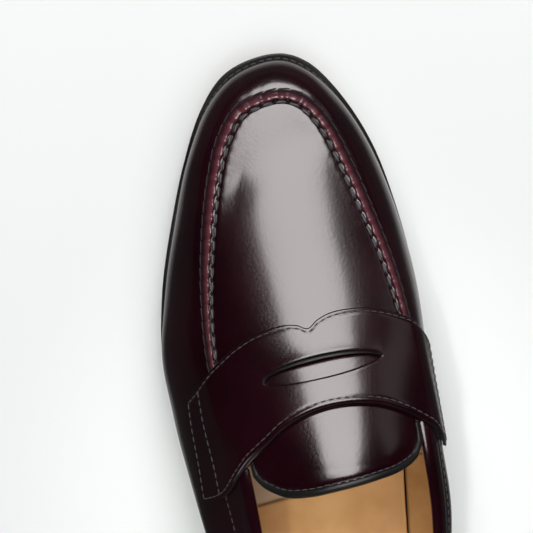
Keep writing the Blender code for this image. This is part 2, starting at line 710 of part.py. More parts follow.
def make_ridge():
    """Raised seam: a half-round ridge of gathered leather along the apron's edge."""
    half = RIDGE_WIDTH / 2
    profile = ((-half, GAP), (-half * 0.94, GAP + RIDGE_HEIGHT * 0.45), (-half * 0.55, GAP + RIDGE_HEIGHT * 0.88),
               (0.0, GAP + RIDGE_HEIGHT), (half * 0.55, GAP + RIDGE_HEIGHT * 0.88),
               (half * 0.94, GAP + RIDGE_HEIGHT * 0.45), (half, GAP), (0.0, GAP))
    clear = 1.0

    def end_of(inward, side):
        across = side * (1.0 - inward / ((HALF_THROAT + 2.0) * GRADE_WIDE))
        return ring_at(strap_front(across) - clear, side)

    ends = [(end_of(inward, -1) - ROWS, end_of(inward, 1)) for inward, _ in profile]
    sections = []
    for t in steps(0.0, 1.0, 42):
        sections.append([over_seam(low + (high - low) * t, inward, height)
                         for (inward, height), (low, high) in zip(profile, ends)])
    loft_piece("apron_seam_ridge", sections, "upper")


def make_strap():
    """Strap across the instep with its coin slot, on a black-edged backer."""
    count = math.ceil(27 * GRADE_WIDE)
    across = sorted(set(steps(STRAP_FRONT[-1][0], STRAP_FRONT[0][0], count) + [0.0]))
    across = [a for a in across if a == 0.0 or abs(a) > 0.04]
    lengthwise = math.ceil(5 * GRADE_LONG)
    strap = section_piece("strap", across, strap_front, strap_rear, lengthwise,
                          -(2 * GAP + STRAP_BACKER + LEATHER), LEATHER, "upper", STRAP_FLARE)
    backer = section_piece("strap_lining", across, strap_front, strap_rear, lengthwise,
                           -(GAP + STRAP_BACKER), STRAP_BACKER, "edge", STRAP_FLARE)
    slot = loft_piece("slot_cutter", slot_sections(), "edge", collection=CUTTERS)
    cut(strap, slot)
    cut(backer, slot)


def slot_sections():
    """Lens-shaped prism: blunt at its lateral end, pointed at the medial one, bowed more to the front."""
    along, across, slant = SLOT_PLACE
    ring = []
    for k in range(20):
        turn = 2 * math.pi * k / 20
        x = math.cos(turn)
        bow = SLOT_REAR if turn <= math.pi else SLOT_FRONT
        side = 1 if turn <= math.pi else -1
        ring.append((along + side * bow * abs(math.sin(turn)) ** 0.9 - slant * x * SLOT_LENGTH / 2,
                     across + x * SLOT_LENGTH / 2))
    middle = body_point(along * GRADE_LONG, 0.0)
    return [[np.array((s * GRADE_LONG, x * GRADE_WIDE, middle[2] + shift)) for s, x in ring]
            for shift in (-22.0, 16.0)]


def make_tongue():
    """Free rear end of the apron, lined and bound; it hinges up behind the strap."""
    across = steps(tongue_side(-1), tongue_side(1), 14)
    section_piece("tongue", across, tongue_front, tongue_rear, 4, 0.0, LEATHER, "upper")
    section_piece("tongue_lining", across, tongue_front, tongue_rear, 4, LAYER_STIFF, LINING, "lining")
    middle = (LEATHER + GAP + LINING) / 2
    inner, outer = across[0], across[-1]
    route = [edge_point(inner, tongue_front(inner) * (1 - t) + tongue_rear(inner) * t, middle, -1, 0)
             for t in (0.4, 0.7)]
    route += [edge_point(a, tongue_rear(a), middle, a, 1) for a in steps(inner, outer, 24)]
    route.append(edge_point(outer, tongue_front(outer) * 0.5 + tongue_rear(outer) * 0.5, middle, 1, 0))
    tube("tongue_binding", route, BINDING_RADIUS, 4, "edge")


def edge_point(across, station, depth, sideways, backwards):
    """Centre of the binding beside the tongue's edge."""
    normal = body_normal(station, across)
    push = BINDING_RADIUS + GAP + 0.2
    point = body_point(station, across) - normal * depth
    slope = (tongue_rear(across + 0.04) - tongue_rear(across - 0.04)) / (0.08 * HALF_THROAT * GRADE_WIDE)
    away = np.array((backwards, -slope * backwards + (0 if backwards else sideways), 0.0))
    return point + unit(away - normal * float(np.dot(away, normal))) * push


def tube(name, route, radius, resolution, finish):
    """A round cord along a route, as a beveled curve."""
    curve = bpy.data.curves.new(name, "CURVE")
    curve.dimensions = "3D"
    curve.bevel_depth = radius * MM
    curve.bevel_resolution = resolution - 2
    curve.use_fill_caps = True
    line = curve.splines.new("POLY")
    line.points.add(len(route) - 1)
    for point, place in zip(line.points, route):
        point.co = (*to_world(place), 1.0)
    made = bpy.data.objects.new(name, curve)
    LOAFER.objects.link(made)
    holder = bpy.data.materials.get(finish)
    curve.materials.append(holder)
    return made


def make_topline():
    """Rolled edge round the foot opening."""
    start = ring_at(strap_rear(1.0) + 2.0, 1)
    final = ring_at(strap_rear(-1.0) + 2.0, -1)
    route = []
    for u in steps(start, final, 50):
        place = top_line(u) - wall_normal(u, 0.985) * BEAD_RADIUS * 0.7
        route.append(place + UP * (BEAD_RADIUS + GAP + 0.1))
    tube("topline_bead", route, BEAD_RADIUS, 4, "upper")


def stand_on_origin():
    """Move every piece so that the shoe's box stands on the origin, centred."""
    graph = bpy.context.evaluated_depsgraph_get()
    corners = []
    for piece in LOAFER.objects:
        final = piece.evaluated_get(graph)
        corners += [point.co.copy() for point in final.to_mesh().vertices]
        final.to_mesh_clear()
    low = Vector([min(c[k] for c in corners) for k in range(3)])
    high = Vector([max(c[k] for c in corners) for k in range(3)])
    shift = Matrix.Translation((-(low.x + high.x) / 2, -(low.y + high.y) / 2, -low.z))
    for piece in list(LOAFER.objects) + list(CUTTERS.objects):
        piece.data.transform(shift)


make_sole()
make_heel()
make_sock()
make_vamp()
make_linings()
make_apron()
make_strap()
make_tongue()
make_topline()
stand_on_origin()
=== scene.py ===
"""Penny loafer, left foot: a burgundy leather upper sewn over a last, on a welted sole and a stacked heel."""
import json
import math

import bpy
import numpy as np
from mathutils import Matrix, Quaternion, Vector

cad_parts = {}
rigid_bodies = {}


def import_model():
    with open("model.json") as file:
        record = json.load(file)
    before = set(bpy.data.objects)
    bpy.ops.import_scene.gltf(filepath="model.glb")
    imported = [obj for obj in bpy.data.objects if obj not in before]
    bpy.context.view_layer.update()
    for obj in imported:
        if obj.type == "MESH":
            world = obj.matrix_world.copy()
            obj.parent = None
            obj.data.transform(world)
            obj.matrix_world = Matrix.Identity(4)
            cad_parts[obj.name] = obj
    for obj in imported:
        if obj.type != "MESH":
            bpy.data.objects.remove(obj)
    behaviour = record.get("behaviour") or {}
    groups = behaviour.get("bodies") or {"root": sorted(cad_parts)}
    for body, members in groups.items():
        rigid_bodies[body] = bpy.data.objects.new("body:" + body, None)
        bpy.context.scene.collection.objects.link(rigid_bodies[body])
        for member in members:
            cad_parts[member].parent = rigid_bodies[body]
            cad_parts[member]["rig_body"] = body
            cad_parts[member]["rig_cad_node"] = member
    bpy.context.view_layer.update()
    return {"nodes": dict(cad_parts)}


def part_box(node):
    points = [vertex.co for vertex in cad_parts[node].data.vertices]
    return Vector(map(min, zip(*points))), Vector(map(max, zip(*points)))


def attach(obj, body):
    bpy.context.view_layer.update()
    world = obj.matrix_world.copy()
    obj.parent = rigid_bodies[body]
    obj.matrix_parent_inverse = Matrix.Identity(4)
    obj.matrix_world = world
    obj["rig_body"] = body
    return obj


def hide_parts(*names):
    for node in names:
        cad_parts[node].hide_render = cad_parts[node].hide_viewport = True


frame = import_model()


# ---------------------------------------------------------------- outsole
# The outsole is cut from 5 mm oak-bark leather to the outline of the last, its edge trimmed, dyed black and
# burnished. Its underside stays the colour of the hide and lifts a little at the toe.
MM = 0.001

# rows of the last: edge of the sole (along, across), feather line's inset, top line (along, across, rise),
# bulge of the wall at the foot (out, up), roll of the wall into the top line (out, down)
LAST = np.array((
    (0.0, 1.5, 2.7, 19.2, 3.0, 21.8, 0.6, 9.0, 6.0, 1.6),
    (5.2, 20.5, 2.6, 23.0, 17.0, 22.9, 0.9, 9.5, 6.0, 1.6),
    (19.0, 34.2, 2.4, 32.5, 25.0, 25.1, 1.6, 11.0, 6.4, 2.0),
    (40.0, 44.2, 2.2, 46.0, 30.6, 28.4, 2.2, 14.0, 7.0, 2.4),
    (66.0, 52.4, 2.1, 67.0, 35.8, 33.2, 2.6, 16.0, 8.0, 3.2),
    (92.0, 59.1, 2.1, 91.0, 39.5, 38.0, 3.6, 17.0, 9.4, 4.8),
    (118.0, 62.3, 2.2, 116.0, 40.8, 44.0, 7.4, 18.0, 11.0, 6.6),
    (142.0, 60.6, 2.4, 140.0, 38.8, 48.9, 8.2, 16.0, 11.0, 9.0),
    (166.0, 55.6, 2.4, 163.0, 34.6, 49.2, 12.0, 14.0, 10.0, 11.5),
    (192.0, 48.6, 2.2, 189.0, 32.6, 40.5, 15.0, 13.0, 9.0, 14.5),
    (218.0, 43.3, 2.0, 215.0, 32.0, 37.1, 11.0, 14.0, 7.0, 15.0),
    (244.0, 41.4, 1.6, 240.0, 31.0, 43.0, 6.5, 17.0, 5.6, 16.0),
    (267.0, 38.7, 1.4, 262.0, 26.4, 50.8, 3.4, 19.0, 4.8, 17.0),
    (286.0, 28.6, 1.4, 279.5, 17.4, 57.0, 4.6, 20.0, 5.4, 18.0),
    (297.2, 5.0, 1.4, 287.6, 5.0, 59.4, 6.2, 21.0, 5.4, 19.0),
    (286.0, -18.6, 1.4, 279.5, -8.0, 57.6, 4.6, 20.0, 5.4, 18.0),
    (267.0, -28.5, 1.4, 262.0, -19.0, 52.2, 3.8, 19.0, 5.4, 17.0),
    (244.0, -31.3, 1.6, 240.0, -28.4, 45.4, 7.0, 18.0, 6.4, 16.0),
    (218.0, -31.8, 1.8, 215.0, -35.0, 40.3, 12.5, 16.0, 7.6, 15.0),
    (192.0, -33.2, 1.6, 189.0, -38.8, 43.9, 16.0, 14.0, 9.0, 15.5),
    (166.0, -36.1, 1.4, 163.0, -38.6, 52.4, 12.0, 15.0, 9.4, 13.0),
    (140.0, -40.2, 1.2, 139.0, -37.8, 51.6, 8.0, 17.0, 8.4, 9.0),
    (116.0, -44.2, 1.1, 116.0, -36.6, 46.0, 4.6, 18.0, 6.6, 4.6),
    (92.0, -45.0, 1.2, 93.0, -33.5, 39.4, 2.4, 17.0, 6.4, 3.6),
    (66.0, -41.2, 1.4, 70.0, -27.8, 34.0, 2.0, 16.0, 6.4, 3.0),
    (42.0, -35.1, 1.8, 49.0, -21.6, 29.1, 1.8, 14.0, 6.0, 2.4),
    (20.0, -24.9, 2.2, 33.0, -15.6, 25.4, 1.4, 11.0, 6.0, 2.0),
    (5.4, -12.2, 2.6, 22.4, -7.4, 22.7, 0.9, 9.5, 6.0, 1.6),
))
ROWS = len(LAST)
HEEL = 14                              # row at the back of the heel; row 0 is the tip of the toe
SHOE_LENGTH = 298.0
GRADE = SHOE_LENGTH / LAST[HEEL, 0]
OUTSOLE = 5.0
WELT = 3.0
GAP = 0.3
FOOT = OUTSOLE + WELT + 2 * GAP        # feather line above the underside of the outsole
TOE_SPRING = 9.0
HEEL_HEIGHT = 24.0
TREAD = (90.0, 122.0)                  # stations between which the sole lies on the floor
HEEL_FULL = 222.0                      # station where the sole has risen to the heel's height
WELT_SHELF = 0.95                      # how much the trimmed edge stands out at the ball of the foot
LATERAL_SHELF = (2.5, 4.5), (9.6, 8.2)         # ring positions between which it grows, in front and behind
MEDIAL_SHELF = (-1.4, -3.0), (-7.4, -5.6)
BED_INSET = 14.0                       # where a sole plate's edge meets its flat bed
STEP = 0.02                            # step for taking a direction from a surface


def smooth_run(t, start, leaving, end, arriving, width=1.0):
    """Smooth curve from start to end with given slopes at both."""
    return ((2 * t**3 - 3 * t**2 + 1) * start + (t**3 - 2 * t**2 + t) * width * leaving
            + (-2 * t**3 + 3 * t**2) * end + (t**3 - t**2) * width * arriving)


def last_rows(u):
    """Measures of the last at ring positions u, where whole numbers are its rows."""
    u = np.asarray(u, float)
    i = np.floor(u).astype(int)
    before, here, after, beyond = (LAST[(i + k) % ROWS] for k in (-1, 0, 1, 2))
    rows = smooth_run((u - i)[..., None], here, (after - before) / 2, after, (beyond - here) / 2)
    rows[..., [0, 3]] *= GRADE
    return rows


def rise(low, high, value):
    """0 at low, 1 at high, with level ends."""
    t = np.clip((value - low) / (high - low), 0.0, 1.0)
    return t * t * (3 - 2 * t)


def hump(value, middle, width):
    """Rounded hump: 1 at the middle and fading to 0 on both sides."""
    return np.exp(-((value - middle) / width) ** 2)


def unit(vectors):
    """Vectors of length one."""
    return vectors / np.maximum(np.linalg.norm(vectors, axis=-1, keepdims=True), 1e-9)


def sole_height(along):
    """Height of the outsole's underside above the floor: toe spring in front, heel behind."""
    spring = TOE_SPRING * (np.maximum(TREAD[0] - along, 0.0) / TREAD[0]) ** 2
    return spring + HEEL_HEIGHT * rise(TREAD[1], HEEL_FULL, along)


def edge_out(u, first=0):
    """Level direction out of the sole's edge, or with first = 3 out of the top line."""
    ahead, behind = (last_rows(np.asarray(u) + step)[..., first:first + 2] for step in (STEP, -STEP))
    way = ahead - behind
    return unit(np.stack((-way[..., 1], way[..., 0]), -1))


def sole_edge(u, inset, height):
    """Point on the sole's edge, moved in by inset, at a height above the underside of the outsole."""
    ring = (u + ROWS / 2) % ROWS - ROWS / 2
    shelf = rise(*LATERAL_SHELF[0], ring) * rise(*LATERAL_SHELF[1], ring)
    shelf = shelf + 0.9 * rise(*MEDIAL_SHELF[0], ring) * rise(*MEDIAL_SHELF[1], ring)
    shelf += 0.6 * hump(ring, 0.0, 1.5) + 0.8 * hump(np.abs(ring), 1.1, 0.7)
    inset = inset - WELT_SHELF * shelf * np.exp(-np.maximum(inset - 1.0, 0.0))
    plan = last_rows(u)[..., :2] - edge_out(u) * inset[..., None]
    return np.concatenate((plan, (sole_height(plan[..., 0]) + height)[..., None]), -1)


EDGE = sole_edge(np.linspace(0.0, ROWS, 1121), np.zeros(1121), 0.0)
SOLE_LOW, SOLE_HIGH = (Vector(corner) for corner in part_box("outsole"))
SHIFT = np.array(((SOLE_LOW.x + SOLE_HIGH.x) / 2 - (EDGE[:, 1].min() + EDGE[:, 1].max()) / 2 * MM,
                  (SOLE_LOW.y + SOLE_HIGH.y) / 2 - (EDGE[:, 0].min() + EDGE[:, 0].max()) / 2 * MM, 0.0))


def place(points):
    """Points (along, across, up) in millimetres to the frame's own metres."""
    return points[..., [1, 0, 2]] * MM + SHIFT


def only(piece):
    """Select one piece and make it the active one."""
    bpy.ops.object.select_all(action="DESELECT")
    piece.select_set(True)
    bpy.context.view_layer.objects.active = piece


def measures(items, name, width, kind=np.float32):
    """One measure of all of a mesh's points or corners."""
    values = np.empty(len(items) * width, kind)
    items.foreach_get(name, values)
    return values.reshape(-1, width)


def merge(distance=0.00002, outward=True, quads=False):
    """Merge the doubled points of the active piece, and turn its faces outwards or make them quads."""
    bpy.ops.object.mode_set(mode="EDIT")
    bpy.ops.mesh.select_all(action="SELECT")
    bpy.ops.mesh.remove_doubles(threshold=distance)
    if outward:
        bpy.ops.mesh.normals_make_consistent(inside=False)
    if quads:
        bpy.ops.mesh.tris_convert_to_quads()
    bpy.ops.object.mode_set(mode="OBJECT")


def join_to(piece, *others):
    """Join other pieces to one, which stays active."""
    only(piece)
    for other in others:
        other.select_set(True)
    bpy.ops.object.join()


def laid_grid(name, columns, rows, surface, weld=False, outward=None):
    """A grid laid where surface(s, t) says, s and t running from 0 to 1, with its faces away from a point."""
    bpy.ops.object.select_all(action="DESELECT")
    bpy.ops.mesh.primitive_grid_add(x_subdivisions=columns, y_subdivisions=rows, size=2.0, calc_uvs=True)
    piece = bpy.context.object
    piece.name = name
    piece.data.name = name
    points = piece.data.vertices
    flat = (measures(points, "co", 3).astype(float) + 1) / 2
    laid = place(surface(flat[:, 0], flat[:, 1]))
    points.foreach_set("co", laid.astype(np.float32).ravel())
    piece.data.update()
    if weld:
        merge()
    elif outward is not None:
        away = laid - place(np.array(outward))
        if np.sum(measures(points, "normal", 3) * away) < 0:
            bpy.ops.object.mode_set(mode="EDIT")
            bpy.ops.mesh.select_all(action="SELECT")
            bpy.ops.mesh.flip_normals()
            bpy.ops.object.mode_set(mode="OBJECT")
    piece.data.shade_smooth()
    return piece


def finish_with(piece, kind, **settings):
    """Add a modifier and apply it."""
    only(piece)
    modifier = piece.modifiers.new(kind.lower(), kind)
    for key, value in settings.items():
        setattr(modifier, key, value)
    bpy.ops.object.modifier_apply(modifier=modifier.name)


def dress(piece, finishes, body, nodes=()):
    """Give a piece its materials, its body and the CAD nodes it stands for."""
    piece.data.materials.clear()
    for finish in finishes:
        piece.data.materials.append(finish)
    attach(piece, body)
    if nodes:
        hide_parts(*nodes)


def add_node(tree, kind, values=(), **settings):
    """A shader node with its settings and with the plain values of its sockets."""
    node = tree.nodes.new(kind)
    for key, value in settings.items():
        setattr(node, key, value)
    for socket, value in values:
        node.inputs[socket].default_value = value
    return node


def wire(tree, *links):
    """Link sockets, each given as a node and its output, then a node and its input."""
    for source, output, target, socket in links:
        tree.links.new(source.outputs[output], target.inputs[socket])


def paint(name):
    """A new material with its node tree and its shader."""
    made = bpy.data.materials.new(name)
    made.use_nodes = True
    return made, made.node_tree, made.node_tree.nodes["Principled BSDF"]


# the fine skin of a hide, which every leather finish uses: pebbles with creases, and a slow patina
SKIN = bpy.data.node_groups.new("leather_skin", "ShaderNodeTree")
for socket in ("Pebble", "Patina"):
    SKIN.interface.new_socket(socket, in_out="OUTPUT", socket_type="NodeSocketFloat")
for socket, start in (("Pebble Scale", 900.0), ("Patina Scale", 30.0)):
    SKIN.interface.new_socket(socket, in_out="INPUT", socket_type="NodeSocketFloat").default_value = start
skin_in = add_node(SKIN, "NodeGroupInput")
skin_out = add_node(SKIN, "NodeGroupOutput")
skin_place = add_node(SKIN, "ShaderNodeTexCoord")
pebble = add_node(SKIN, "ShaderNodeTexVoronoi", feature="SMOOTH_F1", values=(("Smoothness", 0.6),))
creases = add_node(SKIN, "ShaderNodeTexNoise", (("Detail", 4.0), ("Roughness", 0.6)))
mixed = add_node(SKIN, "ShaderNodeMath", operation="MULTIPLY_ADD", values=((1, 0.6),))
patina = add_node(SKIN, "ShaderNodeTexNoise", (("Detail", 3.0),))
for node, scale in ((pebble, "Pebble Scale"), (creases, "Pebble Scale"), (patina, "Patina Scale")):
    wire(SKIN, (skin_place, "Object", node, "Vector"), (skin_in, scale, node, "Scale"))
wire(SKIN, (pebble, "Distance", mixed, 0), (creases, "Fac", mixed, 2), (mixed, 0, skin_out, "Pebble"),
     (patina, "Fac", skin_out, "Patina"))


def hide(name, dark, light, roughness, pebbles=900.0, depth=0.12, coat=0.0, patina_scale=30.0, mask=None,
         mask_colour=None):
    """A leather finish: two shades of one dye, a pebbled skin, and if asked a third shade by an attribute."""
    made, tree, shader = paint(name)
    skin = add_node(tree, "ShaderNodeGroup", node_tree=SKIN,
                    values=(("Pebble Scale", pebbles), ("Patina Scale", patina_scale)))
    shades = add_node(tree, "ShaderNodeValToRGB")
    for element, position, shade in zip(shades.color_ramp.elements, (0.35, 0.65), (dark, light)):
        element.position = position
        element.color = (*shade, 1.0)
    gloss = add_node(tree, "ShaderNodeMapRange", (("From Min", 0.3), ("From Max", 0.7),
                                                  ("To Min", roughness[0]), ("To Max", roughness[1])))
    bump = add_node(tree, "ShaderNodeBump", (("Strength", depth), ("Distance", 0.0004)))
    wire(tree, (skin, "Patina", shades, "Fac"), (skin, "Patina", gloss, "Value"),
         (gloss, "Result", shader, "Roughness"), (skin, "Pebble", bump, "Height"),
         (bump, "Normal", shader, "Normal"))
    if mask:
        crest_rub_and_highlight = add_node(tree, "ShaderNodeAttribute", attribute_name=mask)
        over = add_node(tree, "ShaderNodeMix", data_type="RGBA", values=((7, (*mask_colour, 1.0)),))
        wire(tree, (crest_rub_and_highlight, "Fac", over, 0), (shades, "Color", over, 6), (over, 2, shader, "Base Color"))
    else:
        wire(tree, (shades, "Color", shader, "Base Color"))
    if coat:
        shader.inputs["Coat Weight"].default_value = coat
        shader.inputs["Coat IOR"].default_value = 1.7
        shader.inputs["Coat Roughness"].default_value = roughness[0] * 0.9
    return made


BLACK_EDGE = hide("black_edge_dressing", (0.006, 0.006, 0.006), (0.016, 0.015, 0.015), (0.3, 0.45), 1500.0,
                  0.25)
OAK_BARK = hide("oak_bark_leather", (0.30, 0.16, 0.07), (0.46, 0.27, 0.13), (0.5, 0.65), 700.0, 0.2)

# section of the outsole's trimmed edge: (inset, height), from inside under the welt round to the bottom
TRIM = np.array(((BED_INSET, 5.0), (2.0, 5.0), (0.5, 4.95), (0.05, 4.6), (0.0, 3.4), (0.0, 1.4), (0.3, 0.5),
                 (1.1, 0.05), (2.2, 0.0), (BED_INSET, 0.0)))
TRIM_STEPS = np.linspace(0.0, 1.0, len(TRIM))


def outsole_rim(s, t):
    """Sole edge all round, s round the shoe and t round the section."""
    return sole_edge(s * ROWS, np.interp(t, TRIM_STEPS, TRIM[:, 0]), np.interp(t, TRIM_STEPS, TRIM[:, 1]))


def sole_bed(height):
    """Surface that closes a sole plate inside its rim."""
    def bed(s, t):
        lateral = sole_edge(t * HEEL, np.full(t.shape, BED_INSET), 0.0)
        medial = sole_edge(ROWS - t * HEEL, np.full(t.shape, BED_INSET), 0.0)
        plan = lateral + (medial - lateral) * s[:, None]
        plan[:, 2] = sole_height(plan[:, 0]) + height
        return plan
    return bed


rim = laid_grid("outsole_rim", 672, len(TRIM) - 1, outsole_rim)
top = laid_grid("outsole_top", 10, 336, sole_bed(OUTSOLE))
base = laid_grid("outsole_base", 10, 336, sole_bed(0.0))
join_to(rim, top, base)
merge()
rim.name = "leather_outsole"
under = np.array([face.normal.z < -0.9 for face in rim.data.polygons], np.int32)
dress(rim, (BLACK_EDGE, OAK_BARK), "shoe", ("outsole",))
rim.data.polygons.foreach_set("material_index", under)


# ---------------------------------------------------------------- stacked heel
# Three leather lifts and a rubber top piece are nailed and glued under the seat, each a little smaller than
# the one above. The whole stack is then trimmed, dyed black and waxed, and hair lines between the lifts still
# show.
RUBBER = hide("heel_rubber_compound", (0.010, 0.010, 0.010), (0.022, 0.022, 0.022), (0.6, 0.75), 2200.0, 0.3)


def copy_of(node, name, quads=False):
    """A copy of a CAD node with its triangles merged, to be finished as a piece of its own."""
    source = frame["nodes"][node]
    piece = source.copy()
    piece.data = source.data.copy()
    piece.name = piece.data.name = name
    piece.parent = None
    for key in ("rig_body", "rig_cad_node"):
        if key in piece:
            del piece[key]
    bpy.context.scene.collection.objects.link(piece)
    only(piece)
    merge(outward=False, quads=quads)
    return piece


for lift, finish, slot in (("heel_lift_1", BLACK_EDGE, "heel_leather"),
                           ("heel_lift_2", BLACK_EDGE, "heel_leather"),
                           ("heel_lift_3", BLACK_EDGE, "heel_leather"),
                           ("heel_top_piece", RUBBER, "heel_rubber")):
    stack = copy_of(lift, lift.replace("heel_", "stacked_"))
    finish_with(stack, "BEVEL", width=0.0004, segments=2, limit_method="ANGLE", angle_limit=math.radians(40))
    bpy.ops.object.shade_smooth_by_angle(angle=math.radians(40))
    dress(stack, (finish,), "shoe", (lift,))


# ---------------------------------------------------------------- welt and rand
# A strip of black leather is sewn round the upper and to the outsole from breast to breast, and a rand closes
# the seat. Its top is wheeled between the stitches, and its edge is trimmed flush with the outsole.
STRIP = np.array(((12.0, 0.05), (12.0, 2.9), (3.0, 2.95), (2.5, 2.95), (1.9, 2.9), (1.2, 2.95), (0.6, 2.9),
                  (0.25, 2.6), (0.2, 1.6), (0.25, 0.5), (0.5, 0.05), (12.0, 0.05)))
STRIP_STEPS = np.linspace(0.0, 1.0, len(STRIP))
WELT_BREAST = (9.32, 18.0)             # ring positions of the heel breast, lateral and medial
STRIP_SINK = 0.25                      # how far the strip is pressed down on the outsole


def strip_round(low, high):
    """Welt section run along the sole's edge between two ring positions."""
    def strip(s, t):
        inset = np.interp(t, STRIP_STEPS, STRIP[:, 0])
        height = np.interp(t, STRIP_STEPS, STRIP[:, 1])
        return sole_edge(low + (high - low) * s, inset, OUTSOLE + GAP + height - STRIP_SINK)
    return strip


for name, columns, low, high, node in (
        ("sewn_welt", 900, WELT_BREAST[1] - ROWS, WELT_BREAST[0], "welt"),
        ("seat_rand", 420, WELT_BREAST[0] + 0.002, WELT_BREAST[1] - 0.002, "heel_rand")):
    strip = laid_grid(name, columns, len(STRIP) - 1, strip_round(low, high), weld=True)
    dress(strip, (BLACK_EDGE,), "shoe", (node,))


# ---------------------------------------------------------------- vamp and quarters
# One piece of box calf, 1.4 mm thick, wraps the foot from the back seam round the toe. It is pulled down
# over the last, so its wall bulges at the ball and rolls in at the topline, and it gathers under the seam.
LEATHER = 1.4
SEAM_PITCH = 5.4                       # stitch of the apron seam
UPPER = hide("burgundy_box_calf", (0.0072, 0.0005, 0.0021), (0.0140, 0.0011, 0.0040), (0.20, 0.26),
             depth=0.20, coat=1.0)
SEAM_GROOVE = (0.17, 3.0, 1.3)         # depth, distance below the seam and width of the pulled-in groove
GATHERS = (0.05, 4.2, 1.8)


def top_line(u):
    """Point where the wall of the upper ends: the apron seam in front, the topline behind."""
    row = last_rows(u)
    return np.stack((row[..., 3], row[..., 4], sole_height(row[..., 3]) + FOOT + row[..., 5]), -1)


def wall(u, v):
    """Outer face of the upper between the feather line, v = 0, and the top line, v = 1."""
    row = last_rows(u)
    out = np.concatenate((edge_out(u), np.zeros(row.shape[:-1] + (1,))), -1)
    foot = sole_edge(u, row[..., 2], FOOT)
    head = top_line(u)
    up = np.array((0.0, 0.0, 1.0))
    low = foot + out * row[..., 6:7] + up * row[..., 7:8]
    high = head + out * row[..., 8:9] - up * row[..., 9:10]
    v = np.asarray(v, float)[..., None]
    return (1 - v) ** 3 * foot + 3 * v * (1 - v) ** 2 * low + 3 * v**2 * (1 - v) * high + v**3 * head


def wall_out(u, v):
    """Direction out of the wall."""
    v = np.asarray(v, float)
    along = wall(u + STEP, v) - wall(u - STEP, v)
    up = wall(u, np.minimum(v + STEP, 1.0)) - wall(u, np.maximum(v - STEP, 0.0))
    return unit(np.cross(up, along))


def run_of(path):
    """Length along a path at each of its points."""
    return np.concatenate(((0.0,), np.cumsum(np.linalg.norm(np.diff(path, axis=0), axis=1))))


TOP_RING = np.linspace(-HEEL, HEEL, 2801)
TOP = top_line(TOP_RING)
TOP_RUN = run_of(TOP)
TOP_RUN -= TOP_RUN[len(TOP_RING) // 2]


def seam_run(u):
    """Length along the top line from the tip of the toe, in millimetres; minus on the medial side."""
    return np.interp(u, TOP_RING, TOP_RUN)


def gathers(run):
    """1 between two stitches of the apron seam and 0 at a stitch."""
    return 0.5 - 0.5 * np.cos(2 * math.pi * run / SEAM_PITCH)


def seam_width(u, inward, station):
    """The seam draws together towards the strap, most of all on its inner side."""
    narrow = rise(62.0, 122.0, station)
    return inward * (1 - narrow * np.where(inward > 0, np.where(u > 0, 0.42, 0.22), 0.14))


def vamp_skin(u, v):
    """Wall of the upper with its gathers under the seam and the groove that its stitches pull in."""
    row = last_rows(u)
    deep = (1 - v) * 3 * np.hypot(row[..., 8], row[..., 9])
    seam = rise(7.95, 7.4, np.abs(u + 0.05))
    deep = -deep / seam_width(u, -1.0, row[..., 0])
    relief = -SEAM_GROOVE[0] * hump(deep, *SEAM_GROOVE[1:]) * seam
    relief += GATHERS[0] * (gathers(seam_run(u)) - 0.5) * hump(deep, *GATHERS[1:]) * seam
    relief += 0.16 * np.sin(u * 3.1 + v * 4.0) * np.sin(v * 3.1) * np.sin(u * 1.3 + 1.0)
    return wall(u, v) + wall_out(u, v) * relief[..., None]


def vamp_surface(s, t):
    """Vamp and quarters from back seam to back seam."""
    u = (s - 0.5) * 2 * (HEEL - 0.012)
    return vamp_skin(u, 0.004 + 0.992 * (1 - (1 - t) ** 1.35))


vamp = laid_grid("upper_vamp", 560, 46, vamp_surface, outward=(150.0, 3.0, 20.0))
finish_with(vamp, "SOLIDIFY", thickness=LEATHER * MM, offset=-1.0, use_rim=True, use_even_offset=False)
dress(vamp, (UPPER,), "shoe", ("vamp",))


# ---------------------------------------------------------------- apron
# The plateau over the toes and instep is a second piece of the same calf. It is sewn to the vamp all round
# its edge by hand, so the leather dips along the inner row of stitches and swells again beyond it.
THROAT = 163.0 * GRADE
# how far the middle of the apron stands above the line between its edges: (station, height)
CROWN = np.array(((16.0, 0.0), (22.0, 0.8), (32.0, 2.2), (56.0, 5.0), (92.0, 9.2), (112.0, 11.6),
                  (130.0, 14.6), (150.0, 18.2), (163.0, 20.4), (176.0, 22.0)))
SIDE_RING = {1: np.linspace(0.0, HEEL, 561), -1: np.linspace(0.0, -HEEL, 561)}
EDGE_RUN = 12.0                        # last stretch of the seam, whose direction the edges keep behind it


def spline(knots, position):
    """Value of a smooth curve through (position, value) knots in rising order."""
    xs, ys = knots[:, 0], knots[:, 1]
    position = np.clip(position, xs[0], xs[-1])
    i = np.clip(np.searchsorted(xs, position) - 1, 0, len(xs) - 2)
    slopes = np.gradient(ys, xs, edge_order=1)
    slopes[1:-1] = (ys[2:] - ys[:-2]) / (xs[2:] - xs[:-2])
    width = xs[i + 1] - xs[i]
    return smooth_run((position - xs[i]) / width, ys[i], slopes[i], ys[i + 1], slopes[i + 1], width)


def ring_at(station, side):
    """Ring position where the top line of one side passes a station."""
    ring = SIDE_RING[side]
    return np.interp(station, top_line(ring)[:, 0], ring)


def apron_skin(station, across):
    """Surface over the foot between the two top lines; across is -1 medial, 1 lateral."""
    station = np.asarray(station, float)
    held = np.minimum(station, THROAT)
    edges = []
    for side in (1, -1):
        edge = top_line(ring_at(held, side))
        run = top_line(ring_at(np.array(THROAT), side)) - top_line(ring_at(np.array(THROAT - EDGE_RUN), side))
        edges.append(edge + run / run[0] * (station - held)[..., None])
    share = np.asarray(across, float)[..., None]
    point = (edges[0] * (1 + share) + edges[1] * (1 - share)) / 2
    point[..., 2] += spline(CROWN, station / GRADE) * (1 - share[..., 0] ** 2)
    return point


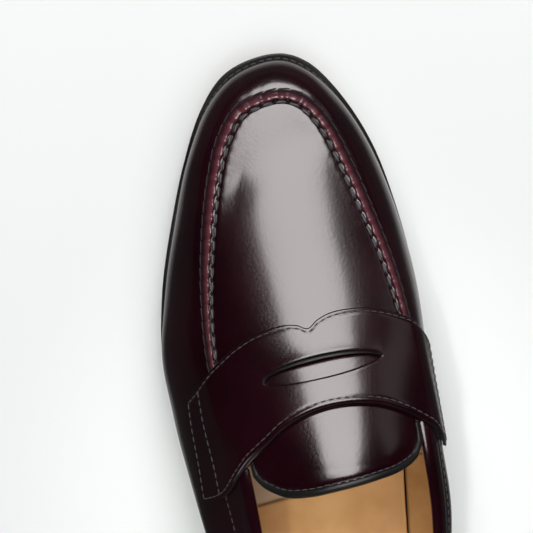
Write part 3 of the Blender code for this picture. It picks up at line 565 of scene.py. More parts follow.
def body_skin(station, across):
    """Surface of the whole section: beyond 1 and -1 it runs down the walls."""
    station, across = np.broadcast_arrays(np.asarray(station, float), np.asarray(across, float))
    point = apron_skin(station, np.clip(across, -1.0, 1.0))
    for side in (1, -1):
        beyond = across * side > 1.0
        if beyond.any():
            point[beyond] = wall(ring_at(station[beyond], side), 2.0 - np.abs(across[beyond]))
    return point


def body_out(station, across):
    """Direction out of the section's surface."""
    along = body_skin(station + 0.8, across) - body_skin(station - 0.8, across)
    over = body_skin(station, across + 0.03) - body_skin(station, across - 0.03)
    return unit(np.cross(along, over))


# front and rear edges of the strap, each as (across, station)
STRAP_FRONT = np.array(((1.34, 134.0), (1.16, 129.0), (0.94, 122.5), (0.72, 116.4), (0.50, 112.4),
                        (0.24, 110.4), (0.10, 110.9), (0.0, 112.6), (-0.10, 109.9), (-0.24, 107.8),
                        (-0.40, 107.2), (-0.62, 107.8), (-0.84, 110.4), (-1.06, 114.6), (-1.28, 119.0),
                        (-1.42, 122.6)))[::-1]
STRAP_REAR = np.array(((1.34, 172.4), (1.16, 170.6), (1.0, 164.2), (0.85, 158.6), (0.62, 152.6),
                       (0.42, 147.5), (0.22, 144.0), (0.02, 142.0), (-0.18, 141.3), (-0.40, 142.0),
                       (-0.60, 144.0), (-0.80, 148.0), (-1.0, 153.6), (-1.24, 160.0), (-1.42, 163.0)))[::-1]


def strap_front(across):
    """Station of the strap's front edge."""
    return spline(STRAP_FRONT, across) * GRADE


def strap_rear(across):
    """Station of the strap's rear edge."""
    return spline(STRAP_REAR, across) * GRADE


def from_seam(points, batch=4000):
    """Distance in plan from the apron's edge and the length along it, found a batch of points at a time."""
    line, run = TOP[200:-200:2], TOP_RUN[200:-200:2]
    near, along = np.empty((2, len(points)))
    for start in range(0, len(points), batch):
        part = points[start:start + batch]
        gap = np.linalg.norm(part[:, None, :2] - line[None, :, :2], axis=2)
        nearest = gap.argmin(axis=1)
        near[start:start + batch] = gap[np.arange(len(part)), nearest]
        along[start:start + batch] = run[nearest]
    return near, along


# each as (height, distance in from the seam, width)
STITCH_DIP = (0.42, 2.6, 0.65)
STITCH_SWELL = (0.03, 4.6, 1.3)
APRON_GATHERS = (0.05, 3.8, 1.6)
TOE_HOLLOW = (0.62, 45.0, 11.0)        # depth, station and width of the shallow hollow over the toes


def apron_relief(points, out):
    """Dips along the inner stitches, swells beyond them, gathers between them, and a hollow over the toes."""
    near, along = from_seam(points)
    near = near / seam_width(points[:, 1] - 2.0, 1.0, points[:, 0])
    relief = -STITCH_DIP[0] * hump(near, *STITCH_DIP[1:]) + STITCH_SWELL[0] * hump(near, *STITCH_SWELL[1:])
    relief += APRON_GATHERS[0] * (gathers(along) - 0.5) * hump(near, *APRON_GATHERS[1:])
    from_hollow = points[:, 0] - TOE_HOLLOW[1] - 0.55 * (points[:, 1] - 10.0)
    relief -= TOE_HOLLOW[0] * hump(from_hollow, 0.0, TOE_HOLLOW[2]) * rise(2.5, 11.0, near)
    return points + out * relief[:, None]


APRON_TIP = 19.2 * GRADE + 0.7


def apron_surface(s, t):
    """Apron from the toe to its rear edge, hidden under the strap."""
    across = (s * 2 - 1) * 0.985
    corner = 3.5 * rise(0.93, 1.0, np.abs(across))
    end = strap_rear(across) + 0.25 - corner
    station = APRON_TIP + (end - APRON_TIP) * t**1.7
    points = body_skin(station, across)
    return apron_relief(points, body_out(station, across))


apron = laid_grid("upper_apron", 150, 150, apron_surface, outward=(100.0, 3.0, 20.0))
finish_with(apron, "SOLIDIFY", thickness=LEATHER * MM, offset=-1.0, use_rim=True)
dress(apron, (UPPER,), "shoe", ("apron",))


# ---------------------------------------------------------------- raised apron seam
# The edge of the vamp is folded up and gathered against the apron, and both are sewn through by hand. The
# fold stands up as a rounded ridge that puckers between the stitches. Its crest is rubbed to a rosier shade,
# and a painted highlight in the same rosy colour lightens the lit inner side of the crest.
RIDGE_HALF = 2.3
RIDGE_HEIGHT = (1.05, 0.62)            # at a stitch, and what the pucker adds between two stitches
RIDGE_LEAN = 0.55


def seam_point(u, inward):
    """Point at the apron's edge: in over the apron, or with a minus out over the wall."""
    top = top_line(u)
    inward = seam_width(u, inward, top[..., 0])
    inside = top[..., :2] - edge_out(u, 3) * np.maximum(inward, 0.0)[..., None]
    station = inside[..., 0]
    lateral = top_line(ring_at(np.minimum(station, THROAT), 1))[..., 1]
    medial = top_line(ring_at(np.minimum(station, THROAT), -1))[..., 1]
    half = np.maximum((lateral - medial) / 2, 1.0)
    across = np.clip((inside[..., 1] - (lateral + medial) / 2) / half, -1.0, 1.0)
    over = apron_skin(station, across)
    over[..., 1] = inside[..., 1]
    row = last_rows(u)
    down = wall(u, 1.0 + np.minimum(inward, 0.0) / (3.0 * np.hypot(row[..., 8], row[..., 9])))
    return np.where((inward > 0)[..., None], over, down)


def seam_up(u):
    """Direction that the ridge stands up in."""
    return unit(wall_out(u, np.full(np.shape(u), 0.97)) + np.array((0.0, 0.0, 0.6)))


def ridge_ends(inward):
    """Ring positions where the ridge runs in under the strap on the medial and lateral sides."""
    across = 1.0 - inward / 38.0
    low = ring_at(strap_front(-across) + 4.0, -1)
    high = ring_at(strap_front(across) + 4.0, 1)
    return low, high


def ridge_surface(s, t):
    """Gathered fold: s along the seam, t from its outer foot over the crest to its inner foot."""
    turn = t * math.pi
    side = -np.cos(turn)
    low, high = ridge_ends(side * RIDGE_HALF)
    u = low + (high - low) * s
    run = seam_run(u)
    swell = gathers(run)
    wave = 0.12 * np.sin(run * 0.71) + 0.08 * np.sin(run * 1.93 + 1.0)
    reach = np.where(side > 0, RIDGE_HALF * (0.64 + 0.34 * swell), RIDGE_HALF)
    lean = RIDGE_LEAN * np.sin(turn) ** 2
    height = (RIDGE_HEIGHT[0] + RIDGE_HEIGHT[1] * swell + wave) * np.sin(turn) ** 0.75 * (1.0 + 0.35 * side)
    point = seam_point(u, side * reach + lean)
    return point + seam_up(u) * (height + 0.02)[..., None]


ridge = laid_grid("apron_seam_fold", 1100, 18, ridge_surface, outward=(100.0, 3.0, 0.0))
# rosier band on the inner side of the crest: partly rubbed dye, partly a painted highlight of the lit side
over_crest = np.array([loop.uv[1] for loop in ridge.data.uv_layers[0].data])
corners = measures(ridge.data.loops, "vertex_index", 1, np.int32)[:, 0]
rub_and_highlight_share = np.zeros(len(ridge.data.vertices), np.float32)
rub_and_highlight_share[corners] = hump(over_crest, 0.60, 0.22)
ridge.data.attributes.new("crest_rub_and_highlight", "FLOAT", "POINT").data.foreach_set("value", rub_and_highlight_share)
# the mask colour is the rubbed crest's rosier dye together with its painted highlight
RIDGE_LEATHER = hide("burgundy_seam_fold", (0.012, 0.0010, 0.0034), (0.028, 0.0026, 0.0078), (0.27, 0.36),
                     1300.0, 0.15, mask="crest_rub_and_highlight", mask_colour=(0.120, 0.034, 0.043), coat=0.8)
dress(ridge, (RIDGE_LEATHER,), "shoe", ("apron_seam_ridge",))


# ---------------------------------------------------------------- seam thread
# Waxed linen thread. The inner row of the apron seam is thick, with open awl holes between its stitches,
# their dark insides painted as shade. The outer row is a thinner line of slanting stitches in the groove
# outside the fold.
def thread(name, turns, dark, light):
    """Waxed thread: strands drawn on the stitch's own length and girth, the light shade its own grey and the
    dark lines painted shade between strands; turns says how they wind.
    """
    made, tree, shader = paint(name)
    shader.inputs["Roughness"].default_value = 0.6
    own = add_node(tree, "ShaderNodeUVMap", uv_map="UVMap")
    lay = add_node(tree, "ShaderNodeMapping", (("Scale", (turns, 1.0, 1.0)),))
    # wave bands: the thread's strands, their dark lines painted shade between the strands
    strands_and_groove_shade = add_node(tree, "ShaderNodeTexWave", bands_direction="DIAGONAL",
                       values=(("Scale", 2.2), ("Distortion", 1.4), ("Detail Scale", 3.0)))
    shades = add_node(tree, "ShaderNodeValToRGB")
    for element, shade in zip(shades.color_ramp.elements, (dark, light)):
        element.color = (*shade, 1.0)
    bump = add_node(tree, "ShaderNodeBump", (("Strength", 0.7), ("Distance", 0.0002)))
    wire(tree, (own, "UV", lay, "Vector"), (lay, "Vector", strands_and_groove_shade, "Vector"),
         (strands_and_groove_shade, "Fac", shades, "Fac"), (shades, "Color", shader, "Base Color"),
         (strands_and_groove_shade, "Fac", bump, "Height"), (bump, "Normal", shader, "Normal"))
    return made


THREAD = thread("waxed_grey_thread", 0.8, (0.012, 0.011, 0.012), (0.145, 0.135, 0.138))
CORD = thread("flat_apron_cord", 0.12, (0.020, 0.019, 0.020), (0.130, 0.122, 0.125))
DARK_CORD = thread("dark_outer_cord", 0.8, (0.009, 0.009, 0.010), (0.055, 0.052, 0.055))
# near-black lenses for the insides of the holes: painted shade
HOLE_PAINTED_SHADE = hide("awl_hole", (0.002, 0.002, 0.002), (0.004, 0.003, 0.003), (0.8, 0.9), 2000.0, 0.1)


def taken_form():
    """Points and faces of the primitive just added, which is then removed."""
    form = bpy.context.object
    points = np.array([point.co[:] for point in form.data.vertices])
    faces = [tuple(face.vertices) for face in form.data.polygons]
    bpy.data.objects.remove(form)
    return points, faces


bpy.ops.object.select_all(action="DESELECT")
bpy.ops.mesh.primitive_grid_add(x_subdivisions=7, y_subdivisions=8, size=2.0, calc_uvs=True)
STITCH, STITCH_FACES = taken_form()
bpy.ops.mesh.primitive_uv_sphere_add(segments=10, ring_count=6, radius=1.0)
PIT, PIT_FACES = taken_form()
PIT_DEPTH = 0.16


def at_run(values, run, places):
    """Values of a path at runs along it."""
    return np.stack([np.interp(places, run, values[:, k]) for k in range(values.shape[1])], -1)


def on_path(path, out, run, places):
    """Point, forward, upward and sideways at runs along a path."""
    up = unit(at_run(out, run, places))
    forward = unit(at_run(path, run, places + 0.2) - at_run(path, run, places - 0.2))
    return at_run(path, run, places), forward, up, np.cross(forward, up)


def spaced(path, pitch, phase):
    """Runs of even places along a path, the length along it, and the pitch that comes out even."""
    run = run_of(path)
    count = max(int(run[-1] / pitch), 1)
    return (np.arange(count) + phase) * run[-1] / count, run, run[-1] / count


def repeated(name, forms, form_faces):
    """One mesh of many copies of a form, each given by its points."""
    size = len(forms[0])
    faces = [tuple(point + k * size for point in face) for k in range(len(forms)) for face in form_faces]
    mesh = bpy.data.meshes.new(name)
    mesh.from_pydata(place(np.concatenate(forms)).tolist(), [], faces)
    piece = bpy.data.objects.new(name, mesh)
    bpy.context.scene.collection.objects.link(piece)
    return piece


def stitch_row(name, path, out, pitch, length, radius, body="shoe", slant=0.0, sink=0.35, lift=0.0, flat=0.85,
               finish=THREAD):
    """A row of stitches along a path, each a twisted length of thread whose ends dive into the leather."""
    places, run, even_pitch = spaced(path, pitch, 0.5)
    length = length * even_pitch / pitch
    x = STITCH[:, 0]
    turn = (STITCH[:, 1] + 1) * math.pi
    thick = radius * np.sqrt(np.maximum(1 - np.abs(x) ** 6, 0.04))
    dive = lift + radius * 0.65 * flat - radius * (1.5 + sink) * flat * np.abs(x) ** 4
    forms, threads = [], []
    for here in places:
        spots = here + x * length / 2
        spine, _, up, side = on_path(path, out, run, spots)
        spine = spine + up * dive[:, None] + side * (slant * x * length / 2)[:, None]
        forms.append(spine + side * (np.cos(turn) * thick)[:, None]
                     + up * (np.sin(turn) * thick * flat)[:, None])
        threads.append(np.stack((spots / (radius * 4), turn / (2 * math.pi)), -1))
    piece = repeated(name, forms, STITCH_FACES)
    corners = measures(piece.data.loops, "vertex_index", 1, np.int32)[:, 0]
    own = piece.data.uv_layers.new(name="UVMap")
    own.data.foreach_set("uv", np.concatenate(threads)[corners].astype(np.float32).ravel())
    only(piece)
    merge(0.000004)
    piece.data.shade_smooth()
    dress(piece, (finish,), body)


def awl_holes(name, path, out, pitch, size, body="shoe", lift=0.02):
    """Small dark pits pressed in where the awl went through; their near-black colour is painted shade for the
    hole's inside.
    """
    places, run, _ = spaced(path, pitch, 0.0)
    forms = [spot + up * lift + forward * PIT[:, :1] * size + side * PIT[:, 1:2] * size * 0.9
             + up * PIT[:, 2:3] * PIT_DEPTH
             for spot, forward, up, side in zip(*on_path(path, out, run, places))]
    piece = repeated(name, forms, PIT_FACES)
    piece.data.shade_smooth()
    dress(piece, (HOLE_PAINTED_SHADE,), body)


def seam_row(inward, points=700):
    """Path beside the apron seam with its outward directions."""
    low, high = ridge_ends(np.array(inward))
    u = np.linspace(low, high, points)
    return seam_point(u, np.full(points, inward)), seam_up(u)


INNER_ROW = 2.65                       # distance in from the seam
OUTER_ROW = -2.75
stitch_row("apron_seam_inner_stitches", *seam_row(INNER_ROW), SEAM_PITCH, 4.5, 0.72, sink=0.6, lift=-0.22,
           flat=0.55, finish=CORD)
awl_holes("apron_seam_awl_holes", *seam_row(INNER_ROW), SEAM_PITCH, 0.78, lift=-0.30)
stitch_row("apron_seam_outer_stitches", *seam_row(OUTER_ROW), SEAM_PITCH, 5.9, 0.30, slant=0.07, sink=0.0,
           lift=-0.2, finish=DARK_CORD)

# the welt is sewn down too, just inside its trimmed edge
u = np.linspace(WELT_BREAST[1] - ROWS + 0.1, WELT_BREAST[0] - 0.1, 900)
path = sole_edge(u, np.full(900, 1.95), OUTSOLE + GAP + 2.62)
stitch_row("welt_stitches", path, np.tile((0.0, 0.0, 1.0), (900, 1)), 3.4, 2.9, 0.34, sink=0.2, finish=CORD)


# ---------------------------------------------------------------- strap
# A saddle strap of the same calf lies over the apron and down both walls, backed with thin black leather. A
# lens of a slot is cut through it, its ends are sewn to the vamp, and all its cut edges are dyed black.
STRAP_TOP = 2.8                        # outer face above the upper: two clearances, backer and leather
LIP_RISE = 1.1                         # how far the slot's front lip stands up
END_SKIVE = 1.0                        # the strap's ends are pared down and lie closer to the vamp
STRAP_FLARE = 0.42                     # how much further the lateral end reaches down at the rear
END_PARED = (1.02, 1.25), (-1.02, -1.3)        # where across the section the paring starts and is full
SLOT_MIDDLE = (128.6, -1.5)
SLOT_HALF = 23.5
SLOT_SLANT = 2.35
SLOT_OPEN = (5.4, 2.8)                 # how far the slot opens in front of and behind its middle line
LIP_ROOM = 2.5                         # least distance from the slot's line to the strap's edges
BACKER_TRIM = 0.14                     # how much shorter the backer is at both ends
BACKER_TOP = 1.38
BACKER_THICK = 1.0
BACKER_LIP = 1.3
EDGE_PAINT = hide("black_cut_edge", (0.010, 0.010, 0.011), (0.040, 0.039, 0.040), (0.5, 0.7), 1800.0, 0.9,
                  patina_scale=900.0)


def slot_tip(side):
    """Position across the section where the slot ends."""
    reach = np.linspace(0.0, 1.0, 401) * side
    station = np.full(401, SLOT_MIDDLE[0] + SLOT_SLANT * side)
    wide = body_skin(station, reach)[:, 1] + body_out(station, reach)[:, 1] * STRAP_TOP
    return float(np.interp(side * (SLOT_MIDDLE[1] + SLOT_HALF * side), side * wide, reach))


TIPS = (slot_tip(-1), slot_tip(1))
SLOT_CENTRE = (TIPS[0] + TIPS[1]) / 2
SLOT_REACH = (TIPS[1] - TIPS[0]) / 2


def slot_lips(across):
    """Stations of the slot's front and rear lips; outside its tips they meet."""
    x = (across - SLOT_CENTRE) / SLOT_REACH
    bow = np.maximum(1 - x * x, 0.0) ** np.where(x > 0, 0.46, 0.72)
    line = SLOT_MIDDLE[0] + SLOT_SLANT * np.clip(x, -1.3, 1.3)
    return (line - SLOT_OPEN[0] * bow) * GRADE, (line + SLOT_OPEN[1] * bow) * GRADE


# shares of the strap's columns: where the slot starts and ends, and how many it takes
SLOT_FROM, SLOT_TO, SLOT_SHARE = 0.28, 0.72, 0.44


def strap_columns(s, trim=0.0):
    """Positions across the section: even outside the slot, closer together towards its tips."""
    low, high = STRAP_FRONT[0, 0] + trim, STRAP_FRONT[-1, 0] - trim
    middle = SLOT_CENTRE - SLOT_REACH * np.cos(np.clip((s - SLOT_FROM) / SLOT_SHARE, 0, 1) * math.pi)
    return np.where(s < SLOT_FROM, low + (TIPS[0] - low) * s / SLOT_FROM,
                    np.where(s > SLOT_TO, TIPS[1] + (high - TIPS[1]) * (s - SLOT_TO) / SLOT_FROM, middle))


def strap_skin(across, station, height, relief=0.0):
    """Point at a height over the upper, and the way out there; the strap's lateral end spreads rearwards."""
    share = np.clip((station - strap_front(across)) / (strap_rear(across) - strap_front(across)), 0.0, 1.0)
    spot = across + np.maximum(across - 1.0, 0.0) * STRAP_FLARE * share
    out = body_out(station, spot)
    ends = np.maximum(rise(*END_PARED[0], across), rise(*END_PARED[1], across))
    return body_skin(station, spot) + out * (height - END_SKIVE * ends + relief)[..., None], out


def strap_half(front, height, lip):
    """Front or rear half of a strap layer; lip is how far the slot's edge is drawn back in this layer."""
    edge_dip, lip_rise = (0.25, LIP_RISE) if front else (0.50, 0.15)

    def half(s, t):
        across = strap_columns(s, BACKER_TRIM if lip else 0.0)
        first, last = strap_front(across), strap_rear(across)
        lips = [np.clip(line, first + LIP_ROOM, last - LIP_ROOM) for line in slot_lips(across)]
        x = (across - SLOT_CENTRE) / SLOT_REACH
        open_here = np.clip(1 - x * x, 0.0, 1.0)
        near, far = (first, lips[0] + lip * open_here) if front else (lips[1], last)
        station = near + (far - near) * (0.45 * t + 0.55 * (0.5 - 0.5 * np.cos(math.pi * t)))
        edge = np.minimum(station - first, last - station)
        relief = -0.18 * hump(edge, 1.6, 0.6) - 0.42 * np.exp(-edge / 0.35)
        to_slot = np.abs(station - (far if front else near))
        relief += lip_rise * open_here * np.exp(-to_slot / 4.0)
        relief -= edge_dip * np.exp(-to_slot / 0.35) * np.minimum(open_here * 6, 1.0)
        return strap_skin(across, station, height, relief)[0]
    return half


def strap_layer(name, height, thickness, lip, finish, node):
    """One layer of the strap, front and rear halves welded where the slot doesn't part them."""
    front = laid_grid(name, 220, 34, strap_half(True, height, lip), outward=(120.0, 0.0, 20.0))
    rear = laid_grid(name + "_rear", 220, 34, strap_half(False, height, lip), outward=(120.0, 0.0, 20.0))
    join_to(front, rear)
    merge(0.00003, outward=False)
    dress(front, (finish, EDGE_PAINT), "shoe", (node,))
    finish_with(front, "SOLIDIFY", thickness=thickness * MM, offset=-1.0, use_rim=True, material_offset_rim=1)
    bpy.ops.object.shade_smooth_by_angle(angle=math.radians(60))


strap_layer("saddle_strap", STRAP_TOP, LEATHER, 0.0, UPPER, "strap")
strap_layer("saddle_strap_backer", BACKER_TOP, BACKER_THICK, BACKER_LIP, BLACK_EDGE,
            "strap_lining")


# ---------------------------------------------------------------- strap stitching
# Fine lock stitches, eight to the inch, run just inside the strap's front and rear edges and in two rows
# across each of its ends.
FINE = 3.0                             # pitch


def fine_seam(stitches, holes, path, out, hole, lift, hole_lift, body="shoe"):
    """A row of fine stitches and the needle holes between them."""
    stitch_row(stitches, path, out, FINE, 2.5, 0.23, sink=0.5, lift=lift, body=body)
    awl_holes(holes, path, out, FINE, hole, lift=hole_lift, body=body)


END_ROW = 0.022                        # how far in from the strap's ends the outer row of stitches lies
low, high = STRAP_FRONT[0, 0], STRAP_FRONT[-1, 0]
across = np.linspace(low + END_ROW, high - END_ROW, 400)
for name, station in (("front", strap_front(across) + 1.5), ("rear", strap_rear(across) - 1.7)):
    fine_seam("strap_%s_stitches" % name, "strap_%s_needle_holes" % name,
              *strap_skin(across, station, STRAP_TOP), 0.26, -0.10, -0.20)
share = np.linspace(0.03, 0.97, 200)
for name, k, spot in (("lateral", 1, high - END_ROW), ("lateral", 2, high - 0.16),
                      ("medial", 1, low + END_ROW), ("medial", 2, low + 0.10)):
    across = np.full(200, spot)
    station = strap_front(across) * (1 - share) + strap_rear(across) * share
    fine_seam("strap_%s_end_stitches_%d" % (name, k), "strap_%s_end_holes_%d" % (name, k),
              *strap_skin(across, station, STRAP_TOP), 0.24, -0.02, -0.06)


# ---------------------------------------------------------------- tongue
# Behind the strap the apron runs on as a short tongue, lined with calf and bound along its free edge with a
# folded strip of black leather that is sewn down. It hinges up at the strap.
BINDING = 1.35                         # half the binding's width
BINDING_HIGH = 1.42
BINDING_SQUARE = 0.8                   # below 1 the section is squarer than an oval
BACK_THICK = 0.8
TONGUE_SIDE = {1: 1.0 - (2 * BINDING + 1.45 + 1.6) / 36.0, -1: -1.0 + (2 * BINDING + 1.45 + 0.2) / 36.0}
TONGUE_REAR = np.array(((-1.0, 158.5), (-0.91, 162.6), (-0.70, 165.4), (-0.45, 166.6), (-0.17, 167.7),
                        (0.13, 168.8), (0.45, 170.0), (0.69, 169.9), (0.88, 167.6), (0.95, 165.8),
                        (1.0, 163.6)))


def tongue_rear(across):
    """Station of the tongue's free edge."""
    return spline(TONGUE_REAR, across / np.where(across > 0, TONGUE_SIDE[1], -TONGUE_SIDE[-1])) * GRADE


def tongue_sheet(depth):
    """A layer of the tongue at a depth under its outer face, curling down at the free edge."""
    def sheet(s, t):
        across = TONGUE_SIDE[-1] + (TONGUE_SIDE[1] - TONGUE_SIDE[-1]) * s
        rear = tongue_rear(across)
        station = (strap_rear(across) + 0.40) * (1 - t) + (rear + 0.3) * t
        relief = -0.30 * hump(rear - station, 0.7, 0.6)
        relief -= 0.45 * np.clip(1 - (rear - station) / 5.5, 0.0, 1.0) ** 2
        return body_skin(station, across) + body_out(station, across) * (relief - depth)[:, None]
    return sheet


LINED = hide("tan_lining_calf", (0.60, 0.32, 0.115), (0.76, 0.45, 0.185), (0.5, 0.62), 1400.0, 0.12,
             patina_scale=60.0)
for name, rows, depth, thickness, finish, slot, node in (
        ("upper_tongue", 50, 0.0, LEATHER, UPPER, "upper_leather", "tongue"),
        ("tongue_back", 30, LEATHER + GAP, BACK_THICK, LINED, "lining_leather", "tongue_lining")):
    sheet = laid_grid(name, 110, rows, tongue_sheet(depth), outward=(150.0, 0.0, 20.0))
    finish_with(sheet, "SOLIDIFY", thickness=thickness * MM, offset=-1.0, use_rim=True)
    dress(sheet, (finish,), "tongue", (node,))


def tongue_route():
    """Middle of the binding's fold along the free edge, with its outward and sideways directions."""
    across = np.linspace(TONGUE_SIDE[-1], TONGUE_SIDE[1], 240)
    rear = tongue_rear(across)
    low, high = across[0], across[-1]
    down = np.linspace(0.04, 0.96, 30)
    first = (strap_rear(low) + 0.6) * (1 - down) + rear[0] * down
    last = ((strap_rear(high) + 0.6) * (1 - down) + rear[-1] * down)[::-1]
    station = np.concatenate((first, rear, last))
    across = np.concatenate((np.full(30, low), across, np.full(30, high)))
    out = body_out(station, across)
    middle = body_skin(station, across) - out * (LEATHER + GAP + BACK_THICK) / 2
    away = unit(np.cross(unit(np.gradient(middle, axis=0)), out))
    for _ in range(3):
        away = unit(np.concatenate((away[:1], (away[:-2] + away[1:-1] + away[2:]) / 3, away[-1:])))
    if np.sum((middle.mean(axis=0) - middle) * away, axis=1).mean() > 0:
        away = -away
    return middle + away * (BINDING * 0.72), out, away


BIND_ROUTE = tongue_route()


def binding_surface(s, t):
    """Folded strip: a rounded section swept along the free edge and closed to a point at both ends."""
    steps = np.linspace(0.0, 1.0, len(BIND_ROUTE[0]))
    centre, upward, sideways = (at_run(values, steps, s) for values in BIND_ROUTE)
    close = np.sqrt(np.clip(np.minimum(s, 1 - s) / 0.012, 0.0, 1.0))
    c, d = np.cos(t * 2 * math.pi), np.sin(t * 2 * math.pi)
    wide = np.sign(c) * np.abs(c) ** BINDING_SQUARE * BINDING * close
    high = np.sign(d) * np.abs(d) ** BINDING_SQUARE * BINDING_HIGH * close
    return centre + sideways * wide[:, None] + upward * high[:, None]


binding = laid_grid("tongue_binding_strip", 420, 22, binding_surface, weld=True)
dress(binding, (BLACK_EDGE,), "tongue", ("tongue_binding",))
across = np.linspace(TONGUE_SIDE[-1] + 0.05, TONGUE_SIDE[1] - 0.05, 300)
station = tongue_rear(across) - 0.55
fine_seam("tongue_binding_stitches", "tongue_needle_holes", body_skin(station, across),
          body_out(station, across), 0.26, -0.42, -0.52, body="tongue")


# ---------------------------------------------------------------- rolled topline
# Round the foot opening the quarters are skived and turned over a cord, then sewn down below it. The edge
# stands as an even round roll with a groove and a line of fine stitches under it.
ROLL = np.array(((10.9, -0.10), (10.2, 0.10), (8.0, 0.16), (5.6, 0.30), (3.6, 0.62), (1.6, 0.80), (0.0, 0.66),
                 (-1.2, 0.25), (-2.3, -0.55), (-2.9, -1.60), (-2.4, -2.70), (-0.9, -3.30), (2.4, -3.40)))
ROLL_STEPS = np.linspace(0.0, 1.0, len(ROLL))
ROLL_START = float(ring_at(strap_rear(np.array(1.0)) - 3.0, 1))
ROLL_END = float(ring_at(strap_rear(np.array(-1.0)) - 3.0, -1)) + ROWS


def roll_depth(u, down, full=3.6):
    """The rolled edge is stitched closer to the top line on the medial side; the roll itself is even."""
    return np.minimum(down, full) + np.maximum(down - full, 0.0) * (1 - 0.34 * rise(12.0, 16.0, u))


def on_roll(u, down, outward):
    """Point beside the top line of the quarters: down its wall and outwards from it."""
    row = last_rows(u)
    share = 1 - np.maximum(down, 0.0) / (3 * np.hypot(row[..., 8], row[..., 9]))
    face = wall(u, share)
    out = wall_out(u, np.minimum(share, 0.985))
    climb = unit(wall(u, np.full(np.shape(u), 1.0)) - wall(u, np.full(np.shape(u), 0.96)))
    return face + out * outward[..., None] + climb * np.maximum(-down, 0.0)[..., None], out


def roll_surface(s, t):
    """Turned edge, from the stitched groove over the top and down inside."""
    u = ROLL_START + (ROLL_END - ROLL_START) * s
    down, outward = (spline(np.stack((ROLL_STEPS, knots), 1), t) for knots in ROLL.T)
    return on_roll(u, roll_depth(u, down), outward)[0]


topline = laid_grid("rolled_topline", 560, 36, roll_surface, outward=(150.0, 3.0, 10.0))
dress(topline, (UPPER,), "shoe", ("topline_bead",))
u = np.linspace(ROLL_START + 0.12, ROLL_END - 0.12, 500)
fine_seam("topline_stitches", "topline_needle_holes",
          *on_roll(u, roll_depth(u, np.full(500, 11.2)), np.full(500, 0.0)), 0.24, -0.06, -0.08)


# ---------------------------------------------------------------- back stay
# A strip of calf covers the seam at the back of the quarters, sewn along both its sides.
STAY_HALF = 7.5                        # half its width in millimetres, and below in ring positions
STAY_RISE = 1.5
stay_side, stay_other = (wall(np.array(HEEL + move), 0.5) for move in (0.05, -0.05))
STAY = STAY_HALF * 0.1 / float(np.linalg.norm(stay_side - stay_other))


def stay_surface(s, t):
    """Strip over the back seam."""
    u = HEEL + (s - 0.5) * 2 * STAY
    v = 0.03 + 0.925 * t
    return wall(u, v) + wall_out(u, v) * STAY_RISE


stay = laid_grid("back_seam_stay", 24, 70, stay_surface, outward=(150.0, 3.0, 20.0))
finish_with(stay, "SOLIDIFY", thickness=1.3 * MM, offset=-1.0, use_rim=True)
finish_with(stay, "BEVEL", width=0.0004, segments=3, limit_method="ANGLE", angle_limit=math.radians(55))
stay.data.shade_smooth()
dress(stay, (UPPER,), "shoe", ("back_stay",))
for name, side in (("lateral", -1), ("medial", 1)):
    v = np.linspace(0.05, 0.935, 200)
    u = np.full(200, HEEL + side * STAY * 0.78)
    out = wall_out(u, v)
    fine_seam("stay_%s_stitches" % name, "stay_%s_needle_holes" % name, wall(u, v) + out * STAY_RISE, out,
              0.24, -0.06, -0.1)


# ---------------------------------------------------------------- linings
# The quarters are lined with tan calf and the forepart with a paler, thinner skin. The back has a grip of the
# same calf with its flesh side out. Each lining is turned under the topline roll.
PALE = hide("pale_lining_skin", (0.56, 0.41, 0.26), (0.70, 0.54, 0.37), (0.6, 0.75), 1400.0, 0.15)
LINING_DEPTH = 2.9
LINING_THICK = 0.7
UNDER_ROLL = 1.7                       # depth of a lining's upper edge, where it meets the roll


def lining_surface(low, high, bottom, top, depth):
    """Lining inside the wall; its upper edge comes out to meet the roll."""
    def lining(s, t):
        u = low + (high - low) * s
        v = bottom + (top - bottom) * t
        deep = depth - (depth - UNDER_ROLL) * rise(0.90, 0.99, v)
        return wall(u, v) - wall_out(u, v) * deep[:, None]
    return lining


def apron_lining_surface(s, t):
    """Lining under the apron."""
    across = (s * 2 - 1) * 0.84
    end = strap_rear(across) - GAP - 1.0 - 8.0 * rise(0.75, 1.0, np.abs(across))
    station = 26.0 + (end - 26.0) * t**1.4
    return body_skin(station, across) - body_out(station, across) * LINING_DEPTH


throat_out = float(ring_at(np.array(THROAT + 3.0), 1))
throat_in = float(ring_at(np.array(THROAT + 3.0), -1))
LININGS = (
    ("forepart_lining", 260, 34, PALE, "vamp_lining",
     lining_surface(throat_in, throat_out, 0.0, 0.96, LINING_DEPTH)),
    ("lateral_quarter_lining", 120, 34, LINED, "quarter_lining_lateral",
     lining_surface(throat_out + 0.01, HEEL - 0.01, 0.0, 0.99, LINING_DEPTH)),
    ("medial_quarter_lining", 120, 34, LINED, "quarter_lining_medial",
     lining_surface(HEEL + 0.01 - ROWS, throat_in - 0.01, 0.0, 0.99, LINING_DEPTH)),
    ("back_grip", 90, 34, LINED, "heel_grip", lining_surface(HEEL - 1.9, HEEL + 1.9, 0.16, 0.95, 3.9)),
    ("instep_lining", 60, 80, PALE, "apron_lining", apron_lining_surface),
)
for name, columns, rows, finish, node, surface in LININGS:
    lining = laid_grid(name, columns, rows, surface, outward=(150.0, 3.0, 20.0))
    finish_with(lining, "SOLIDIFY", thickness=LINING_THICK * MM, offset=-1.0, use_rim=True)
    dress(lining, (finish,), "shoe", (node,))


